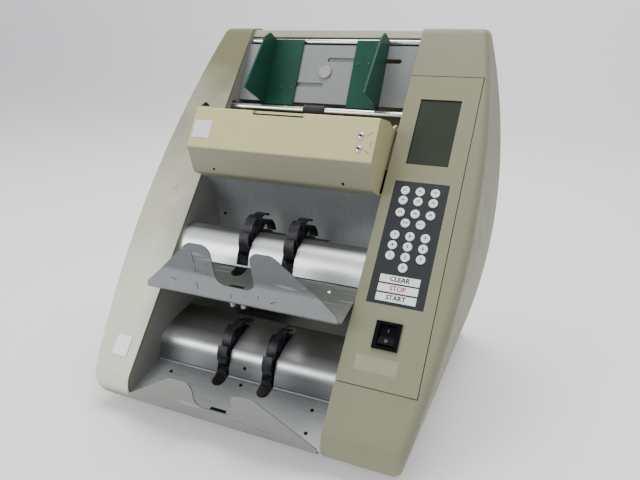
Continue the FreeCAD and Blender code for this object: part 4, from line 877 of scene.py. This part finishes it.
@dataclass
class Housing:
    """Outer shells: pods, console lid, hood, rear cover and base."""

    badge_width: float = 17.0
    badge_height: float = 20.0
    badge_thickness: float = 0.9
    badge_place: Place = (-133.3, 71.5, 5.0)
    patch_width: float = 37.0
    patch_height: float = 13.0
    patch_place: Place = (118.0, 68.9, 88.1)
    recess_outline: tuple[tuple[float, float], ...] = ((-6.0, -2.5), (6.5, -2.5), (3.0, 0.5), (-1.0, 3.0))
    recess_place: Place = (-140.2, 224.0, 272.9)
    shade_sheet_width: float = 164.0
    shade_sheet_height: float = 74.0
    shade_sheet_thickness: float = 0.3
    shade_sheet_place: Place = (-14.0, 318.2, 158.0)
    rear_screw_radius: float = 3.0
    rear_screw_x: tuple[float, ...] = (-107.0, 79.0)
    rear_screw_z: tuple[float, ...] = (22.0, 180.0, 335.0)

    def dress(self) -> None:
        """Give each shell its finish."""
        paint("left_pod", Finishes.POD_LEFT)
        paint("right_pod", Finishes.POD_RIGHT)
        paint("console_lid", Finishes.LID)
        paint("hood", Finishes.HOOD)
        paint("rear_cover", Finishes.COVER_GREY)
        paint("base_plate", Finishes.WALL_GREY)
        paint("rubber_feet", Finishes.RUBBER)
        paint("power_inlet", Finishes.SWITCH)

    def build(self) -> None:
        """Add the vents' painted shade sheet, bare badge, lid's unfaded patch, pivot recess shadow and rear
        screws.
        """
        body = Body.MACHINE.value
        # A dark sheet behind the vents is painted shade, standing in for the dark inside of the machine
        outline = Shop.round_rectangle(self.shade_sheet_width, self.shade_sheet_height, 3.0)
        shade_sheet = Shop.plate("vent_shade_sheet", outline, self.shade_sheet_thickness, 0.1)
        Shop.place("vent_shade_sheet", shade_sheet, UPRIGHT.facing(*self.shade_sheet_place), Finishes.VENT_SHADE, body,
                   "switch_black")
        outline = Shop.round_rectangle(self.badge_width, self.badge_height, 1.0)
        badge = Shop.plate("left_pod_blank", outline, self.badge_thickness, 0.3)
        seat = Seat.on("left_pod", FRONT.at(*self.badge_place))
        Shop.place("left_pod_blank", badge, seat, Finishes.SATIN_SILVER, body, "plated_rod", smooth=False)
        outline = Shop.round_rectangle(self.patch_width, self.patch_height, 0.4, 3)
        patch = Shop.plate("lid_clean_patch", outline, FILM_MM, 0.0)
        Shop.place("lid_clean_patch", patch, Seat.on("console_lid", FRONT.facing(*self.patch_place), 20.0),
                   Finishes.LID_CLEAN, body, "lid_plastic", smooth=False)
        # A flat dark plate paints the shadow inside the hood's pivot recess
        recess = Shop.plate("hood_pivot_recess_shadow", list(self.recess_outline), 0.04, 0.0)
        Shop.place("hood_pivot_recess_shadow", recess, Seat.on("left_pod", FRONT.facing(*self.recess_place), 20.0),
                   Finishes.HOLLOW, body, "switch_black", smooth=False)
        self.rear_screws(body)

    def rear_screws(self, body: str) -> None:
        """Fasten the rear cover with two columns of screws.

        Args:
            body: body that they ride on.
        """
        back = Matrix.Rotation(math.radians(-90), 4, "X") @ Matrix.Rotation(math.pi, 4, "Z")
        spots = [(x, z) for z in self.rear_screw_z for x in self.rear_screw_x]
        for i, (x, z) in enumerate(spots):
            aim = Matrix.Translation((x * MM, CAD_BOX[1][1], z * MM)) @ back
            seat = Seat.on("rear_cover", aim)
            Shop.screw(f"rear_screw_{i + 1}", self.rear_screw_radius, seat, body, "plated_rod")


@dataclass
class HoodTrim:
    """Small pieces on the hood: screws, pointer marks, bare badge and sensor holes."""

    screw_radius: float = 3.2
    screws: tuple[Place, ...] = ((68.9, 156.4, 262.6), (69.2, 149.9, 252.0))
    badge_width: float = 20.5
    badge_height: float = 18.5
    badge_thickness: float = 0.7
    badge_place: Place = (-98.6, 153.8, 258.4)
    hole_radius: float = 1.5
    holes: tuple[Place, ...] = ((-85.3, 150.4, 219.2), (54.6, 150.7, 218.2))
    line_length: float = 6.5
    line_width: float = 0.45
    lines: tuple[tuple[Place, float], ...] = (((77.5, 157.5, 264.4), 30.0), ((79.6, 152.8, 256.8), 95.0),
                                              ((76.8, 148.9, 250.4), 145.0))

    def top(self, place: Place) -> Matrix:
        """Placement on the hood's broad upper face near a point given in mm."""
        return Seat.on("hood", FRONT.facing(*place), 30.0)

    def build(self) -> None:
        """Add every small piece of the hood."""
        body = Body.HOOD.value
        for i, place in enumerate(self.screws):
            Shop.screw(f"hood_screw_{i + 1}", self.screw_radius, self.top(place), body, "plated_rod")
        outline = Shop.round_rectangle(self.badge_width, self.badge_height, 1.0)
        blank = Shop.plate("hood_blank", outline, self.badge_thickness, 0.25)
        Shop.place("hood_blank", blank, self.top(self.badge_place), Finishes.SATIN_SILVER, body, "plated_rod",
                   smooth=False)
        self.pointers(body)
        radius = self.hole_radius
        for i, place in enumerate(self.holes):
            name = f"hood_hole_{i + 1}"
            lens = Shop.turned(name, [(0, -0.3), (radius, -0.3), (radius, 0.05), (0, 0.05)], 16)
            seat = Seat.on("hood", UPRIGHT.facing(*place), 20.0)
            Shop.place(name, lens, seat, Finishes.HOLLOW, body, "switch_black")

    def pointers(self, body: str) -> None:
        """Print three thin lines beside the screws.

        Args:
            body: body that the print rides on.
        """
        for i, (place, turn) in enumerate(self.lines):
            name = f"hood_pointer_{i + 1}"
            outline = Shop.round_rectangle(self.line_length, self.line_width, 0.2, 3)
            line = Shop.plate(name, outline, FILM_MM, 0.0)
            spot = self.top(place) @ Matrix.Rotation(math.radians(turn), 4, "Z")
            Shop.place(name, line, spot, Finishes.INK_BLACK, body, "switch_black", smooth=False)


@dataclass
class Console:
    """Display, keypad and power switch on the sloped panel."""

    rim_width: float = 0.7
    digit_height: float = 3.0
    word_height: float = 2.3
    bar_word_height: float = 4.4
    rim_inset: float = 4.0
    rim_rise: float = 0.25
    mark_height: float = 2.6
    mark_offset: float = 4.5

    def dress(self) -> None:
        """Give the console's pieces their finishes."""
        paint("display_window", Finishes.DISPLAY)
        paint("keypad_plate", Finishes.FILM)
        paint("switch_bezel", Finishes.SWITCH)
        paint("power_rocker", Finishes.SWITCH)
        paint("main_board", Finishes.LAMINATE)
        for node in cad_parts:
            if node.endswith("_key") or "_key_" in node:
                paint(node, Finishes.KEY)

    def build(self) -> None:
        """Add the display's dark rim and every printed legend."""
        low, high = FRONT.extent("display_window")
        width = high.x - low.x - 2 * self.rim_inset
        height = high.y - low.y - 2 * self.rim_inset
        outer = Shop.round_rectangle(width, height, 0.5, 3)
        inner = Shop.round_rectangle(width - 2 * self.rim_width, height - 2 * self.rim_width, 0.5, 3)
        rim = Shop.rim("display_rim", outer, inner, self.rim_rise)
        middle = (low + high) / 2
        Shop.place("display_rim", rim, FRONT.at(middle.x, middle.y, high.z), Finishes.HOLLOW,
                   Body.MACHINE.value, "switch_black", smooth=False)
        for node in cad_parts:
            if node.startswith("digit_key_"):
                self.legend(node, node[-1], self.digit_height, Finishes.INK_BLACK)
            elif node.startswith("function_key_"):
                self.legend(node, "F" + node.split("_")[-1], self.word_height, Finishes.INK_BLACK)
        for node, ink in (("clear_key", Finishes.INK_BLACK), ("stop_key", Finishes.INK_RED),
                          ("start_key", Finishes.INK_BLACK)):
            self.legend(node, node.split("_")[0].upper(), self.bar_word_height, ink)
        self.rocker_marks()

    def legend(self, node: str, words: str, height: float, ink: Finish) -> None:
        """Print a legend in the middle of a key.

        Args:
            node: key that carries it.
            words: plain characters.
            height: letter height in mm.
            ink: finish of the print.
        """
        low, high = FRONT.extent(node)
        middle = (low + high) / 2
        Shop.print_mark(node + "_legend", words, height, FRONT.at(middle.x, middle.y, high.z), ink, node,
                        "switch_black")

    def rocker_marks(self) -> None:
        """Print the on and off marks on the rocker's two halves."""
        low, high = FRONT.extent("power_rocker")
        middle = (low + high) / 2
        for name, words, offset in (("on", "I", self.mark_offset), ("off", "O", -self.mark_offset)):
            seat = Seat.on("power_rocker", FRONT.at(middle.x, middle.y + offset, high.z), 20.0)
            Shop.print_mark(f"rocker_{name}_mark", words, self.mark_height, seat, Finishes.INK_GREY,
                            Body.ROCKER.value, "key_white")


@dataclass
class Pockets:
    """Trays, drums, walls and wheels of the two stacking pockets.

    A sensor slot has its name, its sheet, its X, depth, length and width. A score has its X, height, length
    and turn in degrees.
    """

    lens_radius: float = 1.8
    floor_lenses: tuple[tuple[float, float], ...] = ((-91.0, 62.6), (-14.0, 67.4), (63.0, 61.6), (67.0, 39.3))
    riser_lens: Place = (-15.0, 77.0, 46.0)
    back_lens: Place = (-106.0, 198.9, 156.1)
    sensor_slots: tuple[tuple[str, str, float, float, float, float], ...] = (
        ("floor_sensor", "lower_tray", -20.5, 36.0, 17.0, 6.0),
        ("notch_sensor", "upper_tray", -27.2, 89.6, 16.0, 4.0))
    edge_width: float = 0.9
    edge_depth: float = 73.7
    edges: tuple[tuple[float, float], ...] = ((-79.5, 68.0), (-13.85, 34.7), (51.8, 68.0))
    stud_radius: float = 2.6
    stud_length: float = 16.0
    stud_neck_radius: float = 1.8
    stud_neck_length: float = 10.0
    stud_depth: float = 82.5
    studs_x: tuple[float, ...] = (-29.6, -17.8)
    rivet_radius: float = 2.0
    rivet_place: Place = (59.8, 106.7, 160.0)
    washer_radius: float = 12.6
    washer_bore: float = 5.0
    washer_thickness: float = 0.9
    washers_x: tuple[float, ...] = (-8.35, 40.65)
    stacker_axis: tuple[float, float] = (151.985, 146.562)
    score_width: float = 0.7
    scores: tuple[tuple[float, float, float, float], ...] = (
        (-53.3, 161.0, 14.0, 92.0), (-54.0, 147.5, 6.0, 91.0), (-54.2, 131.0, 8.0, 96.0),
        (-18.6, 126.6, 4.0, 90.0), (9.2, 130.5, 4.5, 84.0), (24.0, 128.6, 6.0, 25.0),
        (-39.6, 154.6, 1.6, 90.0), (-42.2, 144.5, 1.6, 80.0), (-50.6, 147.6, 2.0, 90.0),
        (-80.0, 133.3, 6.0, -18.0), (-5.0, 129.2, 1.4, 90.0))

    def dress(self) -> None:
        """Give the pockets' pieces their finishes."""
        paint("upper_drum", Finishes.DRUM_UPPER)
        paint("lower_drum", Finishes.DRUM_LOWER)
        paint("upper_tray", Finishes.TRAY_UPPER)
        paint("lower_tray", Finishes.TRAY_LOWER)
        paint("pocket_back_sheet", Finishes.BACK_SHEET)
        paint("exit_rollers", Finishes.RUBBER)
        for node in ("left_side_frame", "right_side_frame"):
            paint(node, Finishes.WALL_GREY)
        for level in ("upper", "lower"):
            paint(f"{level}_stacker_wheels", Finishes.WHEEL)
            paint(f"{level}_stacker_shaft", Finishes.PLATED)

    def build(self) -> None:
        """Add sensor windows and slots, the painted highlight along the floor's edge, tray studs, scores and
        roller washers.
        """
        body = Body.MACHINE.value
        for i, (x, y) in enumerate(self.floor_lenses):
            self.window(f"floor_window_{i + 1}", Seat.on("lower_tray", LEVEL.facing(x, y, 90.0)), body)
        self.window("riser_window", Seat.on("lower_drum", UPRIGHT.facing(*self.riser_lens), 40.0), body)
        self.window("back_window", Seat.on("pocket_back_sheet", UPRIGHT.facing(*self.back_lens), 60.0), body)
        for name, node, x, y, length, width in self.sensor_slots:
            slot = Shop.plate(name, Shop.round_rectangle(length, width, 1.2), 0.12, 0.04)
            spot = Seat.on(node, LEVEL.facing(x, y, 150.0), 10.0)
            Shop.place(name, slot, spot, Finishes.HOLLOW, body, "switch_black")
        self.floor_highlights(body)
        self.studs(body)
        self.lip_scores(body)
        self.washers()

    def washers(self) -> None:
        """Put a plated washer on the end of each exit roller."""
        bore, radius, thickness = self.washer_bore, self.washer_radius, self.washer_thickness
        for i, x in enumerate(self.washers_x):
            name = f"exit_roller_washer_{i + 1}"
            profile = [(bore, 0), (radius, 0), (radius, thickness), (bore, thickness), (bore, 0)]
            washer = Shop.turned(name, profile, 32)
            spot = LEVEL.facing(x, *self.stacker_axis) @ Matrix.Rotation(math.pi / 2, 4, "Y")
            Shop.place(name, washer, spot, Finishes.PLATED, Body.UPPER_STACKER.value, "plated_rod")

    def floor_highlights(self, body: str) -> None:
        """Lay a painted highlight along the lower floor's edge at the drum's foot, clear of the wheels.

        Args:
            body: body that it rides on.
        """
        for i, (x, length) in enumerate(self.edges):
            name = f"floor_edge_{i + 1}"
            # Each strip is a painted highlight on the floor's edge
            edge = Shop.plate(name, Shop.round_rectangle(length, self.edge_width, 0.3, 3), 0.25, 0.08)
            seat = Seat.on("lower_tray", LEVEL.facing(x, self.edge_depth, 90.0))
            Shop.place(name, edge, seat, Finishes.SATIN_SILVER, body, "plated_rod", smooth=False)

    def studs(self, body: str) -> None:
        """Hang two acetal standoffs under the upper tray's floor, and set a rivet head on it.

        Args:
            body: body that they ride on.
        """
        neck, radius, length = self.stud_neck_radius, self.stud_radius, self.stud_length
        profile = [(0, 0), (neck, 0), (neck, self.stud_neck_length), (radius, self.stud_neck_length),
                   (radius, length - 0.8), (radius - 0.4, length - 0.2), (0, length)]
        below = Matrix.Rotation(math.pi, 4, "X")
        for i, x in enumerate(self.studs_x):
            name = f"tray_stud_{i + 1}"
            seat = Seat.on("upper_tray", LEVEL.facing(x, self.stud_depth, 90.0) @ below, 0.0)
            Shop.place(name, Shop.turned(name, profile, 12), seat, Finishes.GEAR, body, "key_white")
        radius = self.rivet_radius
        profile = [(0, -0.1), (radius, -0.1), (radius * 0.9, 0.3), (radius * 0.5, 0.6), (0, 0.7)]
        rivet = Shop.turned("tray_rivet", profile, 20)
        Shop.place("tray_rivet", rivet, Seat.on("upper_tray", LEVEL.facing(*self.rivet_place), 10.0),
                   Finishes.PLATED, body, "plated_rod")

    def lip_scores(self, body: str) -> None:
        """Draw the dark scores that use has left on the upper tray's lip.

        Args:
            body: body that they ride on.
        """
        for i, (x, z, length, turn) in enumerate(self.scores):
            name = f"lip_score_{i + 1}"
            score = Shop.plate(name, Shop.round_rectangle(length, self.score_width, 0.3, 3), FILM_MM, 0.0)
            seat = Seat.on("upper_tray", UPRIGHT.facing(x, 60.0, z), 40.0)
            Shop.place(name, score, seat @ Matrix.Rotation(math.radians(turn), 4, "Z"), Finishes.HOLLOW, body,
                       "switch_black", smooth=False)

    def window(self, name: str, where: Matrix, body: str) -> None:
        """Dark sensor window flush with a sheet.

        Args:
            name: name of the piece.
            where: placement on the sheet.
            body: body that it rides on.
        """
        profile = [(0, -0.3), (self.lens_radius, -0.3), (self.lens_radius, 0.08), (0, 0.12)]
        Shop.place(name, Shop.turned(name, profile, 18), where, Finishes.HOLLOW, body, "switch_black")


@dataclass
class Hopper:
    """Hopper plate, rod, guides and feed shaft."""

    middle_x: float = -13.85
    guide_reach: float = 31.35
    slots_up: float = 35.0
    slot_offset: float = 14.575
    rivet_radius: float = 2.0
    rivet_inset: float = 5.2
    rivet_spacing: float = 12.0

    def dress(self) -> None:
        """Give the hopper's pieces their finishes."""
        paint("hopper_plate", Finishes.PLATE_GREY)
        paint("hopper_rod", Finishes.PLATED)
        paint("left_note_guide", Finishes.GREEN)
        paint("right_note_guide", Finishes.GREEN)
        paint("guide_pinion", Finishes.GEAR)
        paint("feed_shaft", Finishes.PLATED)
        paint("feed_roller", Finishes.RUBBER)

    def plane(self) -> Slope:
        """Working plane on the hopper plate's face, from its lower edge."""
        low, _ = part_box("hopper_plate")
        return Slope(low.y / MM, low.z / MM, HOPPER.tilt_deg)

    def build(self) -> None:
        """Add the rivet heads of both guides."""
        plane = self.plane()
        radius = self.rivet_radius
        profile = [(0, -0.2), (radius, -0.2), (radius * 0.9, 0.4), (radius * 0.5, 0.75), (0, 0.85)]
        for node, body, side in (("left_note_guide", Body.LEFT_GUIDE.value, -1.0),
                                 ("right_note_guide", Body.RIGHT_GUIDE.value, 1.0)):
            for i in range(2):
                name = f"{node}_rivet_{i + 1}"
                x = self.middle_x + side * (self.guide_reach + self.rivet_inset + i * self.rivet_spacing)
                seat = Seat.on(node, plane.at(x, self.slots_up + side * self.slot_offset, 40.0), 10.0)
                head = Shop.turned(name, profile, 20)
                Shop.place(name, head, seat, Finishes.RIVET_GREEN, body, "green_sheet")


@dataclass
class DriveTrain:
    """Motor, belt, bushes and pulleys inside the left pod."""

    def dress(self) -> None:
        """Give the drive's pieces their finishes."""
        paint("drive_motor", Finishes.MOTOR_CAN)
        paint("motor_pulley", Finishes.ALLOY)
        paint("drive_belt", Finishes.RUBBER)
        paint("shaft_bearings", Finishes.BRONZE)


@dataclass
class Studio:
    """Plain pale floor, soft light and the camera. The camera is in mm, the floor and the lamps in metres.

    A lamp has its name, its place, the point that it faces, its size and its power in watts.
    """

    eye: Place = (241.8, -335.7 + SHIFT_Y, 352.4)
    right: Place = (0.91758, 0.39754, 0.00306)
    down: Place = (0.13843, -0.31227, -0.93986)
    forward: Place = (-0.37268, 0.86281, -0.34156)
    lens: float = 32.625
    floor_half_width: float = 4.0
    floor_front: float = -3.0
    floor_back: float = 1.6
    bend_radius: float = 0.5
    wall_top: float = 4.0
    floor_rows: int = 24
    sky: str = "E9ECF2"
    sky_strength: float = 0.6
    lamps: tuple[tuple[str, Place, Place, float, float], ...] = (
        ("ceiling_lamp", (0.0, 0.4, 1.85), (0.0, 0.0, 0.1), 1.4, 38.0),
        ("left_lamp", (-1.05, -1.4, 0.92), (-0.05, 0.0, 0.12), 1.1, 16.0))

    def camera(self) -> None:
        """Set the camera at the photograph's viewpoint."""
        data = bpy.data.cameras.new("view_camera")
        data.sensor_width = 36.0
        data.lens = self.lens
        data.clip_start = 0.01
        data.clip_end = 50.0
        camera = bpy.data.objects.new("view_camera", data)
        bpy.context.scene.collection.objects.link(camera)
        columns = (Vector(self.right), -Vector(self.down), -Vector(self.forward))
        turn = Matrix([c.normalized() for c in columns]).transposed().to_4x4()
        camera.matrix_world = Matrix.Translation(Vector(self.eye) * MM) @ turn
        bpy.context.scene.camera = camera

    def floor(self) -> None:
        """Lay a pale floor that curves up into a wall far behind the machine."""
        shape = bmesh.new()
        profile = []
        for i in range(self.floor_rows):
            run = 2 * i / (self.floor_rows - 1)
            angle = max(run - 1, 0.0) * math.pi / 2
            profile.append((self.floor_front + min(run, 1.0) * (self.floor_back - self.floor_front)
                            + self.bend_radius * math.sin(angle), self.bend_radius * (1 - math.cos(angle))))
        profile.append((profile[-1][0], self.wall_top))
        rows = [[shape.verts.new((x, y, z)) for x in (-self.floor_half_width, self.floor_half_width)]
                for y, z in profile]
        for a, b in zip(rows, rows[1:]):
            shape.faces.new((a[0], a[1], b[1], b[0]))
        mesh = bpy.data.meshes.new("studio_floor")
        shape.to_mesh(mesh)
        shape.free()
        mesh.shade_smooth()
        mesh.materials.append(Finish("paper_matt_backdrop", "F8F7F9", 0.7, glow=0.25).material())
        floor = bpy.data.objects.new("studio_floor", mesh)
        bpy.context.scene.collection.objects.link(floor)

    def lamp(self, name: str, where: Place, aim: Place, size: float, power: float) -> None:
        """Hang one soft square lamp.

        Args:
            name: name of the lamp.
            where: its place in metres.
            aim: the point that it faces, in metres.
            size: side of the square in metres.
            power: strength in watts.
        """
        data = bpy.data.lights.new(name, "AREA")
        data.shape = "SQUARE"
        data.size = size
        data.energy = power
        lamp = bpy.data.objects.new(name, data)
        bpy.context.scene.collection.objects.link(lamp)
        lamp.location = where
        lamp.rotation_mode = "QUATERNION"
        lamp.rotation_quaternion = (Vector(aim) - Vector(where)).to_track_quat("-Z", "Y")

    def light(self) -> None:
        """Light the machine softly from above and from the left."""
        world = bpy.data.worlds.new("studio_world")
        world.use_nodes = True
        background = world.node_tree.nodes["Background"]
        background.inputs["Color"].default_value = srgb(self.sky)
        background.inputs["Strength"].default_value = self.sky_strength
        bpy.context.scene.world = world
        for lamp in self.lamps:
            self.lamp(*lamp)


def main() -> None:
    """Build the machine's looks in order."""
    logging.basicConfig(level=logging.INFO, format="%(name)s %(message)s")
    studio = Studio()
    studio.floor()
    studio.light()
    studio.camera()
    housing = Housing()
    housing.dress()
    housing.build()
    HoodTrim().build()
    console = Console()
    console.dress()
    console.build()
    pockets = Pockets()
    pockets.dress()
    pockets.build()
    hopper = Hopper()
    hopper.dress()
    hopper.build()
    DriveTrain().dress()
    LOG.info("pieces added: %d", len(Shop.made))


if __name__ == "__main__":
    main()
